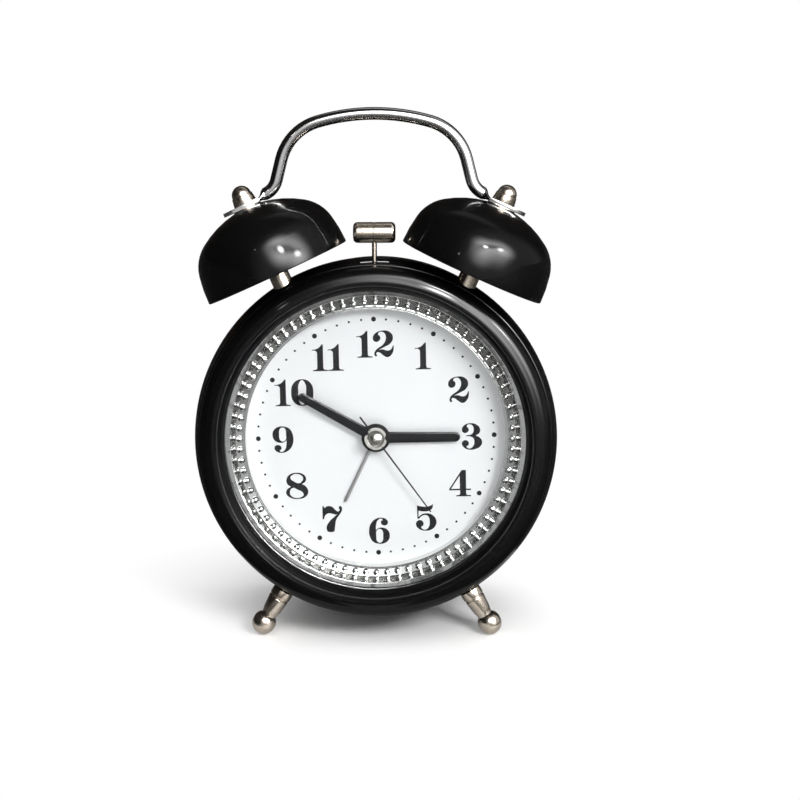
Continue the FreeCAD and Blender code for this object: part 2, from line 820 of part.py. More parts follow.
def make_train():
    """Local Z runs to the back. Angles are seen from the front: in the local axes the clock's up is -Y."""
    fit = float(size.running_fit)
    width, fine, gap = float(size.wheel_width), float(size.fine_wheel_width), float(size.wheel_gap)
    arbor = float(size.seconds_arbor)
    tubes = {name: float(radius) for name, radius in centre_tubes().items()}
    inside = float(frame_back + size.housing_wall)
    back_inside = float(housing_back - size.housing_wall)
    alarm_plane = inside + gap
    hour_plane = alarm_plane + width + gap
    minute_plane = hour_plane + width + gap
    centre_plane = minute_plane + width + gap
    third_plane = centre_plane + fine + gap
    seconds_plane = third_plane + fine + gap
    setting, third = float(size.setting_distance), float(size.third_distance)
    slope = float(size.setting_angle)
    minute_direction = 180 - slope
    alarm_direction = slope
    third_direction = -90
    hands = {kind: float(dial_face - getattr(size, f"{kind}_hand_height") - getattr(size, f"{kind}_hand_thickness"))
             for kind in ("alarm", "hour", "minute", "seconds")}

    # alarm wheel on the outer tube, and the setting pinion on the alarm knob's arbor
    r1, r2, p1, p2 = gear_pair(ALARM_TEETH, setting, alarm_direction)
    tube = hollow_rod(tubes["alarm"], 0, hands["alarm"], alarm_plane + width)
    wheel = gear_solid(ALARM_TEETH[0], r1, width, p1, True)
    wheel.translate(Vector(0, 0, alarm_plane))
    bore = Part.makeCylinder(tubes["hour"] + fit, float(housing_back), Vector(0, 0, 0))
    new_shape("alarm_wheel", tube.fuse(wheel).cut(bore).removeSplitter()).Placement = from_front()
    knob_arbor = float(size.setting_arbor)
    arbor_front, arbor_back = inside - 0.8, float(cover_back + size.knob_gap + size.knob_height) - 1.0
    pinion = gear_solid(ALARM_TEETH[1], r2, width, p2, True)
    pinion.translate(Vector(0, 0, alarm_plane))
    shaft = hollow_rod(knob_arbor, 0, arbor_front, arbor_back)
    x, z = setting_places()["alarm"]
    new_shape("alarm_pinion", shaft.fuse(pinion).removeSplitter()).Placement = from_front(x, 0, z)

    # hour wheel on the middle tube; the minute wheel carries its pinion on the time knob's arbor
    r1, r2, p1, p2 = gear_pair(tuple(reversed(HOUR_TEETH)), setting, minute_direction)
    tube = hollow_rod(tubes["hour"], 0, hands["hour"], hour_plane + width)
    wheel = gear_solid(HOUR_TEETH[1], r1, width, p1, True)
    wheel.translate(Vector(0, 0, hour_plane))
    bore = Part.makeCylinder(tubes["minute"] + fit, float(housing_back), Vector(0, 0, 0))
    new_shape("hour_wheel", tube.fuse(wheel).cut(bore).removeSplitter()).Placement = from_front()
    small = gear_solid(HOUR_TEETH[0], r2, width + gap, p2, False)
    small.translate(Vector(0, 0, hour_plane))
    r3, r4, p3, p4 = gear_pair(MINUTE_TEETH, setting, minute_direction)
    large = gear_solid(MINUTE_TEETH[1], r4, width, p4, True)
    large.translate(Vector(0, 0, minute_plane))
    shaft = hollow_rod(knob_arbor, 0, arbor_front, arbor_back)
    x, z = setting_places()["time"]
    new_shape("minute_wheel", shaft.fuse([small, large]).removeSplitter()).Placement = from_front(x, 0, z)

    # cannon pinion on the inner tube, and the centre wheel pressed on its rear end
    r5, r6, p5, p6 = gear_pair(tuple(reversed(THIRD_TEETH)), third, third_direction)
    seat = tubes["minute"] - 0.2
    tube = hollow_rod(tubes["minute"], 0, hands["minute"], minute_plane + width)
    tube = tube.fuse(hollow_rod(seat, 0, minute_plane + width, centre_plane + fine))
    pinion = gear_solid(MINUTE_TEETH[0], r3, width, p3, False)
    pinion.translate(Vector(0, 0, minute_plane))
    bore = Part.makeCylinder(arbor + fit, float(housing_back), Vector(0, 0, 0))
    new_shape("cannon_pinion", tube.fuse(pinion).cut(bore).removeSplitter()).Placement = from_front()
    centre = gear_solid(THIRD_TEETH[1], r5, fine, p5, True)
    hub = Part.makeCylinder(2.4, gap, Vector(0, 0, -gap))
    centre = centre.fuse(hub).cut(Part.makeCylinder(seat, 10, Vector(0, 0, -5)))
    centre.translate(Vector(0, 0, centre_plane))
    new_shape("centre_wheel", centre.removeSplitter()).Placement = from_front()

    # third wheel: its pinion drives the centre wheel, and the seconds pinion drives it
    r7, r8, p7, p8 = gear_pair(SECONDS_TEETH, third, third_direction)
    small = gear_solid(THIRD_TEETH[0], r6, fine + gap, p6, False)
    small.translate(Vector(0, 0, centre_plane))
    large = gear_solid(SECONDS_TEETH[1], r8, fine, p8, True)
    large.translate(Vector(0, 0, third_plane))
    shaft = hollow_rod(arbor, 0, inside - 0.8, back_inside + 0.8)
    new_shape("third_wheel", shaft.fuse([small, large]).removeSplitter()).Placement = from_front(0, 0, third)

    # seconds wheel: the arbor runs through all the tubes and carries the seconds hand and the cap
    small = gear_solid(SECONDS_TEETH[0], r7, fine + gap, p7, False)
    small.translate(Vector(0, 0, third_plane))
    large = Part.makeCylinder(7.0, fine, Vector(0, 0, seconds_plane))
    shaft = hollow_rod(arbor, 0, hands["seconds"] - float(size.cap_radius) / 2, back_inside + 0.8)
    new_shape("seconds_wheel", shaft.fuse([small, large]).removeSplitter()).Placement = from_front()


def setting_places():
    """Where the two setting arbors stand, below the centre to each side."""
    x = size.setting_distance * cosine(size.setting_angle)
    z = -size.setting_distance * sine(size.setting_angle)
    return {"time": (-x, z), "alarm": (x, z)}


# Movement housing: two moulded trays, held to the frame by four long screws

def housing_outline(inset):
    side = size.housing_half_width - inset
    return rounded_box(-side, -(size.housing_top - inset), side, size.housing_bottom - inset,
                       size.housing_corner - inset)


def screw_places():
    return [(x * size.screw_x, y * size.screw_z) for x in (-1, 1) for y in (-1, 1)]


def arbor_circles():
    """Bearing holes in a housing wall; in the body's own axes the clock's up is -Y."""
    fit = size.running_fit
    circles = [(x, -z, size.setting_arbor + fit) for x, z in setting_places().values()]
    circles.append((0, -size.third_distance, size.seconds_arbor + fit))
    return circles


def make_housing():
    split = frame_back + size.housing_split
    wall = size.housing_wall
    tubes = centre_tubes()
    front = new_body("movement_front")
    raised(front, size.housing_split, lifted(frame_back), outlines=[housing_outline(0)])
    sunk(front, 2 * (size.housing_split - wall), lifted(split), outlines=[housing_outline(wall)])
    raised(front, size.housing_split - wall, lifted(frame_back + wall),
           circles=[(x, y, size.screw_radius + 1.0) for x, y in screw_places()])
    bush_front = dial_face - 0.4
    raised(front, frame_back - bush_front, lifted(bush_front), circles=[(0, 0, tubes["bush"])])
    sunk(front, 30, lifted(dial_face), circles=[(0, 0, tubes["alarm"] + size.running_fit)])
    sunk(front, 4 * wall, lifted(frame_back), circles=arbor_circles())
    sunk(front, 60, lifted(frame_back), circles=[(x, y, size.screw_radius + 0.1) for x, y in screw_places()])
    front.Placement = from_front()

    back = new_body("movement_back")
    depth = size.housing_depth - size.housing_split
    raised(back, depth, lifted(split), outlines=[housing_outline(0)])
    sunk(back, 2 * (depth - wall), lifted(split), outlines=[housing_outline(wall)])
    raised(back, depth - wall, lifted(split), circles=[(x, y, size.screw_radius + 1.0) for x, y in screw_places()])
    centre_bore = (0, 0, size.seconds_arbor + size.running_fit)
    sunk(back, 4 * wall, lifted(housing_back), circles=arbor_circles() + [centre_bore])
    sunk(back, 60, lifted(housing_back), circles=[(x, y, size.screw_radius + 0.1) for x, y in screw_places()])
    back.Placement = from_front()


def make_screws(label, places, seat, tip):
    """A group of pan-head screws, heads to the back."""
    solids = []
    for x, z in places:
        head = Part.makeCylinder(float(size.screw_head_radius), float(size.screw_head_height), vector(0, 0, seat))
        slot = Part.makeBox(5.0, 0.6, 0.6)
        slot.translate(Vector(-2.5, -0.3, float(seat + size.screw_head_height) - 0.5))
        shank = Part.makeCylinder(float(size.screw_radius), float(seat - tip), Vector(0, 0, float(tip)))
        screw = head.cut(slot).fuse(shank)
        screw.translate(vector(x, -z, 0))
        solids.append(screw)
    new_shape(label, Part.makeCompound(solids)).Placement = from_front()


# Stepper motor, sealed, and the circuit board behind the housing

def make_electrics():
    motor = new_body("stepper_motor")
    seat = housing_back - size.housing_wall
    depth = size.motor_depth
    # in the body's own axes the clock's up is -Y, so the motor is below the centre and the board above it
    half, high = size.motor_width / 2, size.motor_place
    low = high + size.motor_height
    middle = high + size.motor_height / 2
    raised(motor, depth, lifted(seat - depth), outlines=[rounded_box(-half, high, half, low, as_size(1.5))])
    raised(motor, 1.0, lifted(seat - depth - 1.0), circles=[(-0.55 * half, middle, 0.31 * half)], outlines=[
        box_corners(0, middle - 0.27 * half, 0.91 * half, middle + 0.27 * half)])
    motor.Placement = from_front()
    board = new_body("circuit_board")
    half, low = size.board_width / 2, size.board_place
    high = low + size.board_height
    raised(board, size.board_thickness, lifted(housing_back), outlines=[box_corners(-half, -high, half, -low)])
    chip = 0.21 * size.board_width
    raised(board, 1.4, lifted(housing_back + size.board_thickness), outlines=[
        box_corners(-0.75 * chip, -low - 1.75 * chip, 0.5 * chip, -low - 0.75 * chip)])
    board.Placement = from_front()


# Bells: pressed shells with a rolled rim, each clamped on its stud

def make_bells():
    wall, lip = size.bell_wall, size.bell_lip
    bore = size.stud_radius + size.stud_fit
    inner = size.bell_radius - wall
    for name, side in SIDES:
        turned(f"{name}_bell", [
            (inner, 0),
            (inner + lip, -lip),
            (size.bell_radius - lip, -lip),
            (size.bell_radius, 0),
            (size.bell_side_radius, size.bell_side_height, 0.025),
            (size.bell_shoulder_radius, size.bell_shoulder_height, 0.1),
            (size.bell_seat_radius, size.bell_height, 0.054),
            (bore, size.bell_height),
            (bore, size.bell_height - wall),
            (size.bell_seat_radius, size.bell_height - wall),
            (size.bell_shoulder_radius - 0.5 * wall, size.bell_shoulder_height - 0.9 * wall),
            (size.bell_side_radius - 1.3 * wall, size.bell_side_height + wall),
        ], on_bell_axis(side))


def case_outside():
    """The case as one solid block, that the feet of the bell posts are cut to. Local Z runs to the back."""
    front = vector(case_front, 0, size.joint_gap)
    widest = vector(size.case_radius, 0, size.case_crown_depth)
    crown = (front + widest) / 2 + Vector(widest.z - front.z, 0, front.x - widest.x) * CROWN_BOW
    corners = [
        widest, vector(size.case_radius, 0, size.case_taper_start), vector(case_rear, 0, size.case_depth),
        vector(0, 0, size.case_depth), vector(0, 0, size.joint_gap), front,
    ]
    edges = [Part.Arc(front, crown, widest).toShape()]
    edges += [Part.LineSegment(start, end).toShape() for start, end in zip(corners, corners[1:])]
    return Part.Face(Part.Wire(edges)).revolve(Vector(), Vector(0, 0, 1), 360)


def make_bell_fittings():
    bore = size.stud_radius + size.stud_fit
    tab_seat = size.bell_height + size.washer_thickness
    nut_seat = tab_seat + size.tab_thickness
    tail = size.inner_nut_seat + size.inner_nut_height + 0.8
    foot = -2.2 * size.bell_post_radius
    washers, nuts = [], []
    for name, side in SIDES:
        # sleeve from the case to the inside of the crown, its foot cut to the case's curve
        place = on_bell_axis(side)
        sleeve = hollow_rod(float(size.bell_post_radius), float(bore), float(foot),
                            float(size.bell_height - size.bell_wall))
        case = case_outside()
        case.Placement = place.inverse().multiply(from_front())
        sleeve = sleeve.cut(case)
        new_shape(f"{name}_bell_post", sleeve).Placement = place
        stud = Part.makeCylinder(float(size.stud_radius), float(nut_seat + size.dome_nut_height / 2 + tail),
                                 vector(0, 0, -tail))
        new_shape(f"{name}_bell_stud", stud).Placement = place
        washer = hollow_rod(float(size.washer_radius), float(bore), float(size.bell_height), float(tab_seat))
        washer.Placement = place
        washers.append(washer)
        nut = hex_nut(float(size.inner_nut_radius), float(size.stud_radius), float(size.inner_nut_height))
        nut.Placement = place.multiply(lifted(-size.inner_nut_seat - size.inner_nut_height))
        nuts.append(nut)
        neck = size.dome_nut_height - size.dome_radius
        turned(f"{name}_dome_nut", [
            (size.stud_radius, 0),
            (size.dome_nut_radius, 0),
            (size.dome_nut_neck, neck - 0.4),
            (size.dome_nut_neck, neck - 0.1),
            (size.dome_radius, neck),
            (0, size.dome_nut_height, QUARTER),
            (0, size.dome_nut_height / 2),
            (size.stud_radius, size.dome_nut_height / 2),
        ], on_bell_axis(side, nut_seat))
    new_shape("bell_washers", Part.makeCompound(washers))
    new_shape("stud_nuts", Part.makeCompound(nuts))


def hex_nut(radius, bore, height):
    corners = [Vector(radius * math.cos(math.radians(60 * k)), radius * math.sin(math.radians(60 * k)), 0)
               for k in range(7)]
    nut = Part.Face(Part.makePolygon(corners)).extrude(Vector(0, 0, height))
    return nut.cut(Part.makeCylinder(bore, height + 2, Vector(0, 0, -1)))


# Handle: a rod bent into an arch, with its ends flattened into pierced tabs

def rounded_path(points, radii):
    """A wire of straight runs joined by tangent arcs."""
    edges = []
    here = points[0]
    for before, corner, after, radius in zip(points, points[1:], points[2:], radii):
        back, ahead = (before - corner).normalize(), (after - corner).normalize()
        half = back.getAngle(ahead) / 2
        reach = radius / math.tan(half)
        start, end = corner + back * reach, corner + ahead * reach
        middle = corner + (back + ahead).normalize() * (radius / math.sin(half) - radius)
        if (start - here).Length > 1e-6:
            edges.append(Part.LineSegment(here, start).toShape())
        edges.append(Part.Arc(start, middle, end).toShape())
        here = end
    edges.append(Part.LineSegment(here, points[-1]).toShape())
    return Part.Wire(edges)


def bent_rod(path, radius):
    first = path.OrderedEdges[0]
    start = first.valueAt(first.FirstParameter)
    heading = first.tangentAt(first.FirstParameter)
    section = Part.Wire(Part.Circle(start, heading, radius).toShape())
    return path.makePipeShell([section], True, False)


def make_handle():
    lean = float(size.bell_lean)
    side_slope = math.radians(float(size.handle_side_slope))
    crown_slope = math.radians(float(size.handle_crown_slope))
    up = math.radians(lean)
    axis = Vector(math.sin(up), 0, math.cos(up))
    inward = Vector(-math.cos(up), 0, math.sin(up))
    seat = float(size.bell_height + size.washer_thickness)
    plane = float(size.bell_plane)
    hole = vector(size.bell_x, plane, bell_base) + axis * (seat + float(size.tab_thickness) / 2)
    # the rod runs a little above the middle of its flattened end, clear of the bell's crown
    rod_start = hole + axis * float(size.tab_drop)
    foot = rod_start + inward * float(size.handle_side_reach)
    # the crown's two tangents meet over the middle, and the side line meets them at the shoulder
    crown = float(size.handle_crown_radius)
    peak = float(handle_top) - crown + crown / math.cos(crown_slope)
    fall, run = math.tan(crown_slope), math.tan(side_slope)
    height = (peak - fall * (foot.x + run * foot.z)) / (1 - fall * run)
    shoulder = Vector(foot.x - run * (height - foot.z), plane, height)
    neck_reach = float(size.tab_neck)
    taper = float(size.tab_taper)
    neck = rod_start + inward * (neck_reach + taper)

    def mirrored(point):
        return Vector(-point.x, point.y, point.z)

    points = [mirrored(neck), mirrored(foot), mirrored(shoulder), Vector(0, plane, peak), shoulder, foot, neck]
    bend, foot_bend = float(size.handle_bend), float(size.handle_foot_bend)
    rod = bent_rod(rounded_path(points, [foot_bend, bend, crown, bend, foot_bend]), float(size.rod_radius))

    # one end: a loft from the round rod to the flat tab, then the tab with its round end and hole
    half_width, half_thick = float(size.tab_width) / 2, float(size.tab_thickness) / 2
    radius = float(size.rod_radius)

    def flat_section(share, wide, thick):
        wire = Part.Wire(Part.Ellipse(Vector(), wide, thick).toShape())
        centre = hole + inward * (neck_reach + share * taper) + axis * (share * float(size.tab_drop))
        wire.Placement = Placement(centre, Rotation(Vector(0, 1, 0), axis, -inward, "XYZ"))
        return wire

    transition = Part.makeLoft([
        flat_section(0, half_width, half_thick),
        flat_section(0.4, half_width * 0.86, half_thick * 1.5),
        Part.Wire(Part.Circle(neck, inward, radius).toShape()),
    ], True)
    tab = Part.makeBox(neck_reach, 2 * half_width, 2 * half_thick, Vector(0, -half_width, -half_thick))
    end = Part.makeCylinder(half_width, 2 * half_thick, Vector(0, 0, -half_thick))
    end_reach = float(size.tab_end)
    middle = Part.makeBox(end_reach, 2 * half_width, 2 * half_thick, Vector(-end_reach, -half_width, -half_thick))
    end.translate(Vector(-end_reach, 0, 0))
    tab = tab.fuse([middle, end])
    tab = tab.cut(Part.makeCylinder(float(size.stud_radius + size.stud_fit), 10, Vector(0, 0, -5)))
    tab.Placement = Placement(hole, Rotation(inward, Vector(0, 1, 0), -axis, "XYZ"))
    right = [transition, tab]
    left = [piece.mirror(Vector(0, 0, 0), Vector(1, 0, 0)) for piece in right]
    new_shape("handle", rod.fuse(right + left).removeSplitter())


# Legs: turned, with a collar, a tapered body and a ball foot

def make_legs():
    seat = size.case_radius
    ball, neck = size.leg_ball, size.leg_neck_radius
    neck_end = leg_reach - root(ball * ball - neck * neck)
    collar = seat + size.leg_collar
    groove = size.leg_groove
    for name, side in SIDES:
        leg = turned(f"{name}_leg", [
            (0, seat - size.leg_stub_length),
            (size.leg_stub_radius, seat - size.leg_stub_length),
            (size.leg_stub_radius, seat),
            (size.leg_collar_radius, seat),
            (size.leg_collar_radius, collar - groove),
            (size.leg_collar_radius - groove, collar),
            (size.leg_top_radius, collar + groove),
            (neck, neck_end),
            (ball, leg_reach, 0.14),
            (0, leg_reach + ball, QUARTER),
        ], on_leg_axis(side))
        below = on_leg_axis(side).Rotation.inverted().multVec(down)
        sole = vector(0, 0, leg_reach) + below * float(ball)
        sunk(leg, 2 * size.leg_flat, facing(sole, below), circles=[(0, 0, ball)])
    nuts = []
    for _, side in SIDES:
        nut = hex_nut(float(size.inner_nut_radius), float(size.leg_stub_radius), float(size.inner_nut_height))
        nut.Placement = on_leg_axis(side).multiply(
            lifted(seat - size.leg_nut_seat - size.inner_nut_height))
        nuts.append(nut)
    new_shape("leg_nuts", Part.makeCompound(nuts))


# Hammer: barrel head on a bent wire, staked into a lever that an electromagnet rocks

def make_hammer():
    half, radius, edge = size.hammer_length / 2, size.hammer_radius, size.hammer_edge
    seam = size.hammer_seam
    head = turned("hammer_head", [
        (0, -half),
        (radius - edge, -half),
        (radius, edge - half, QUARTER),
        (radius, -seam),
        (radius - seam, 0),
        (radius, seam),
        (radius, half - edge),
        (radius - edge, half, QUARTER),
        (0, half),
    ], Placement(vector(0, size.bell_plane, hammer_level), Rotation(Vector(0, 1, 0), 90)))
    # the hole for the wire, from below: the clock's up is the body's -X
    sunk(head, 2 * radius, facing(vector(radius, 0, 0), Vector(1, 0, 0)), circles=[(0, 0, size.hammer_rod_radius)])

    plane, lever_plane = float(size.bell_plane), float(frame_back + size.lever_setback)
    top, shelf = float(hammer_level), float(hammer_rod_shelf)
    stem = float(size.pivot_height + size.lever_stem)
    points = [Vector(0, plane, top), Vector(0, plane, shelf), Vector(0, lever_plane, shelf),
              Vector(0, lever_plane, stem - 5)]
    bend = float(size.hammer_rod_bend)
    new_shape("hammer_rod", bent_rod(rounded_path(points, [bend, bend]), float(size.hammer_rod_radius)))

    # lever, drawn from the front round its pivot: hub, arm, armature and the stem that holds the wire
    lever = new_body("hammer_lever")
    thick, stem_thick = 2.2, 2.4
    arm = size.armature_rise + size.armature_height
    lever_face = Placement(vector(0, 0, -thick / 2), Rotation())
    raised(lever, thick, lever_face, circles=[(0, 0, size.lever_hub)])
    raised(lever, thick, lever_face, outlines=[box_corners(-1.6, 1, size.armature_reach, arm)])
    # the underside of the arm is cut back to the armature's height
    sunk(lever, 4 * thick, outlines=[
        box_corners(size.lever_hub - 0.2, -4, size.armature_reach + 1, size.armature_rise)])
    raised(lever, size.coil_setback, Placement(vector(0, 0, thick / 2 - size.coil_setback - 1.6), Rotation()),
           outlines=[box_corners(size.coil_x - size.coil_radius, size.armature_rise, size.armature_reach, arm)])
    raised(lever, stem_thick, Placement(vector(0, 0, -stem_thick / 2), Rotation()),
           outlines=[box_corners(-1.8, 2, 1.8, size.lever_stem)])
    sunk(lever, 4 * thick, circles=[(0, 0, size.pivot_radius + size.running_fit)])
    sunk(lever, 10, facing(vector(0, size.lever_stem, 0), Vector(0, 1, 0)), circles=[(0, 0, size.hammer_rod_radius)])
    lever.Placement = front_view(0, lever_plane, size.pivot_height)


def make_striker():
    """Bracket on top of the housing, with the coil, its core and the hammer's pivot pin."""
    plate, ear = size.bracket_plate, size.ear_plate
    lever_plane = frame_back + size.lever_setback
    bracket = new_body("striker_bracket")
    base = size.housing_top
    front, back = frame_back, frame_back + 9.4
    # drawn from above: local Z is the clock's up
    raised(bracket, plate, lifted(base), outlines=[box_corners(-7, front, size.coil_x + 5.5, back)])
    ear_top = size.pivot_height + 3.2 - base
    for ear_front in (front, lever_plane + 1.7):
        raised(bracket, ear_top, lifted(base), outlines=[box_corners(-3.4, ear_front, 3.4, ear_front + ear)])
    sunk(bracket, 60, facing(vector(0, 0, size.pivot_height), Vector(0, 1, 0)), circles=[(0, 0, size.pivot_radius)])
    core_y = lever_plane + size.coil_setback - 2.3
    turned("striker_core", [
        (0, base + plate), (size.core_radius, base + plate),
        (size.core_radius, size.pivot_height + 1.3), (0, size.pivot_height + 1.3),
    ], Placement(vector(size.coil_x, core_y, 0), Rotation()))
    coil_top = size.pivot_height + 1.0
    coil = size.coil_radius
    turned("striker_coil", [
        (size.core_radius, base + plate), (coil, base + plate), (coil, base + plate + 0.8),
        (coil - 0.7, base + plate + 0.8), (coil - 0.7, coil_top - 0.8), (coil, coil_top - 0.8), (coil, coil_top),
        (size.core_radius, coil_top),
    ], Placement(vector(size.coil_x, core_y, 0), Rotation()))
    pin_back = lever_plane + 1.7 + ear + 0.4
    turned("hammer_pivot_pin", [
        (0, front), (size.pivot_radius, front), (size.pivot_radius, pin_back), (0, pin_back),
    ], from_front(0, 0, size.pivot_height))


# Battery bay: tray, cell, contacts and door

def make_battery():
    wall, play = size.bay_wall, size.cell_play
    inner = size.cell_radius + play
    middle = -size.cell_height
    depth = 2 * inner + 0.4
    floor = cover_front - depth
    half = size.bay_half_length
    # drawn from the front, local Z to the viewer, so the open side is at local z = 0
    tray = new_body("battery_tray")
    raised(tray, depth + wall, outlines=[
        box_corners(-half - wall, middle - inner - wall, half + wall, middle + inner + wall)])
    sunk(tray, 2 * depth, outlines=[box_corners(-half, middle - inner, half, middle + inner)])
    tray.Placement = front_view(0, cover_front, 0)

    centre_y = floor + size.cell_radius + 0.05
    tip, length = size.cell_tip, size.cell_length
    start = half - size.contact_plate - tip - length
    turned("battery_cell", [
        (0, start), (size.cell_radius - 0.4, start), (size.cell_radius, start + 0.4),
        (size.cell_radius, start + length - 0.4), (size.cell_radius - 0.4, start + length),
        (size.cell_tip_radius, start + length), (size.cell_tip_radius, start + length + tip),
        (0, start + length + tip),
    ], Placement(vector(0, centre_y, middle), Rotation(Vector(0, 1, 0), 90)))

    contact = new_body("battery_contact")
    pad = 0.7 * size.cell_radius
    raised(contact, size.contact_plate, lifted(half - size.contact_plate),
           outlines=[rounded_box(-pad, -pad, pad, pad, as_size(1.0))])
    contact.Placement = Placement(vector(0, centre_y, middle), Rotation(Vector(0, 1, 0), 90))

    # a coarse coil of six-sided wire, closing towards the cell
    wire = float(size.spring_wire)
    gap = float(start + half - size.contact_plate)
    climb = gap - 2 * wire
    helix = Part.Wire(Part.makeHelix(climb / float(size.spring_turns), climb, 4.2, -12.0).Edges)
    begin = helix.Edges[0].valueAt(helix.Edges[0].FirstParameter)
    corners = [begin + Vector(wire * math.cos(math.radians(60 * k)), 0, wire * math.sin(math.radians(60 * k)))
               for k in range(7)]
    coil = helix.makePipeShell([Part.makePolygon(corners)], True, True)
    coil.translate(Vector(0, 0, wire))
    plate = Part.makeBox(10, 10, float(size.contact_plate), Vector(-5, -5, -float(size.contact_plate)))
    spring = Part.makeCompound([coil, plate])
    place = Placement(vector(-half + size.contact_plate, centre_y, middle), Rotation(Vector(0, 1, 0), 90))
    new_shape("battery_spring", spring).Placement = place

    door = new_body("battery_door")
    ledge, fit = size.bay_ledge, size.door_fit
    wide, tall = half + ledge - fit, inner + ledge - fit
    raised(door, size.cover_thickness, outlines=[box_corners(-wide, middle - tall, wide, middle + tall)])
    # grip ribs on the outside, to the back
    for rib in (-1, 0, 1):
        level = middle + rib * 2.2 + tall / 2
        raised(door, 0.5, Placement(Vector(0, 0, -0.5), Rotation()),
               outlines=[box_corners(-5, level - 0.5, 5, level + 0.5)])
    door.Placement = front_view(0, cover_back, 0)


# Rear cover, knobs and alarm switch

def make_cover():
    outer = case_rear - size.case_wall - size.stack_play
    cover = turned("rear_cover", [(0, cover_front), (outer, cover_front), (outer, cover_back), (0, cover_back)],
                   from_front())
    inner = size.cell_radius + size.cell_play + size.bay_ledge
    wide = size.bay_half_length + size.bay_ledge
    depth = 4 * size.cover_thickness
    # in the body's own axes the clock's up is -Y
    sunk(cover, depth, lifted(cover_back), outlines=[
        box_corners(-wide, size.cell_height - inner, wide, size.cell_height + inner)])
    sunk(cover, depth, lifted(cover_back), circles=[(x, -z, size.screw_radius + 0.1) for x, z in post_places()])
    sunk(cover, depth, lifted(cover_back), circles=[
        (x, -z, size.setting_arbor + 0.2) for x, z in setting_places().values()])
    slot = size.switch_neck_width + size.switch_travel
    play = 0.2
    left = -slot / 2 - play
    sunk(cover, depth, lifted(cover_back), outlines=[box_corners(
        left, -size.switch_height - size.switch_neck_height / 2 - play,
        slot / 2 + play, -size.switch_height + size.switch_neck_height / 2 + play)])


def make_knobs():
    foot = cover_back + size.knob_gap
    top = foot + size.knob_height
    radius = size.knob_radius
    for name, place in (("time_set_knob", "time"), ("alarm_set_knob", "alarm")):
        x, z = setting_places()[place]
        knob = turned(name, [
            (size.setting_arbor, foot), (radius * 0.6, foot), (radius * 0.6, foot + 1), (radius, foot + 1),
            (radius, top - 0.5), (radius - 0.5, top), (0, top), (0, top - 1), (size.setting_arbor, top - 1),
        ], from_front(x, 0, z))
        cut = size.flute_radius
        flute = sunk(knob, 2 * size.knob_height, lifted(top - size.knob_height / 2 + 1), outlines=[[
            (radius - cut, 0), (radius + 0.2, -cut), (radius + 0.2, cut)]])
        around(knob, flute, size.flute_count)


def make_switch():
    """Slides along X. It rests at the left end of its slot, and a plate inside keeps it there."""
    switch = new_body("alarm_switch")
    rest = -size.switch_travel / 2
    middle = size.switch_height
    width, height = size.switch_neck_width / 2, size.switch_neck_height / 2
    grip_width, grip_height = size.switch_grip_width / 2, size.switch_grip_height / 2
    fit = 0.1
    inner_plate = 1.0
    # drawn from the front, local Z to the viewer: the neck runs through the cover's thickness
    raised(switch, size.cover_thickness + 2 * fit, Placement(vector(0, 0, -fit), Rotation()), outlines=[
        box_corners(rest - width, middle - height, rest + width, middle + height)])
    raised(switch, size.switch_grip, Placement(vector(0, 0, -fit - size.switch_grip), Rotation()), outlines=[
        box_corners(rest - grip_width, middle - grip_height, rest + grip_width, middle + grip_height)])
    raised(switch, inner_plate, Placement(vector(0, 0, size.cover_thickness + fit), Rotation()), outlines=[
        box_corners(rest - grip_width, middle - grip_height, rest + grip_width, middle + grip_height)])
    switch.Placement = front_view(0, cover_back, 0)


make_case()
make_bezel()
make_lens()
make_beaded_ring()
make_dial()
make_frame()
make_hands()
make_train()
make_housing()
make_screws("movement_screws", [(x, -y) for x, y in screw_places()], housing_back,
            frame_back - size.frame_floor + 0.7)
make_screws("cover_screws", list(post_places()), cover_back, cover_front - COVER_SCREW_DEPTH + 0.5)
make_electrics()
make_bells()
make_bell_fittings()
make_handle()
make_legs()
make_hammer()
make_striker()
make_battery()
make_cover()
make_knobs()
make_switch()
doc.recompute()

# The whole clock leans back, then its box is centred over the origin

lean_back = Placement(Vector(), Rotation(Vector(1, 0, 0), -lean))
for piece in PARTS:
    piece.Placement = lean_back.multiply(piece.Placement)
doc.recompute()
extent = Part.makeCompound([piece.Shape for piece in PARTS]).optimalBoundingBox(False, False)
shift = Vector(-(extent.XMin + extent.XMax) / 2, -(extent.YMin + extent.YMax) / 2, -extent.ZMin)
for piece in PARTS:
    piece.Placement = Placement(shift, Rotation()).multiply(piece.Placement)
doc.recompute()
print(f"lean {lean:.6f} shift {shift.x:.6f} {shift.y:.6f} {shift.z:.6f}")
print(f"size {extent.XLength:.3f} {extent.YLength:.3f} {extent.ZLength:.3f}")

faults = []
for item in doc.Objects:
    if "Invalid" in item.State or "Error" in item.State:
        faults.append(f"{item.Name}: {item.State}")
for piece in PARTS:
    if piece.Shape.isNull() or not piece.Shape.isValid() or not piece.Shape.Solids:
        faults.append(f"{piece.Label}: no valid shape")
if faults:
    raise RuntimeError("; ".join(faults))
for piece in PARTS:
    piece.Shape.exportStep(f"parts/{piece.Label}.step")
print(f"{len(PARTS)} parts")
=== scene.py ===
import math

import bpy
from mathutils import Matrix, Vector


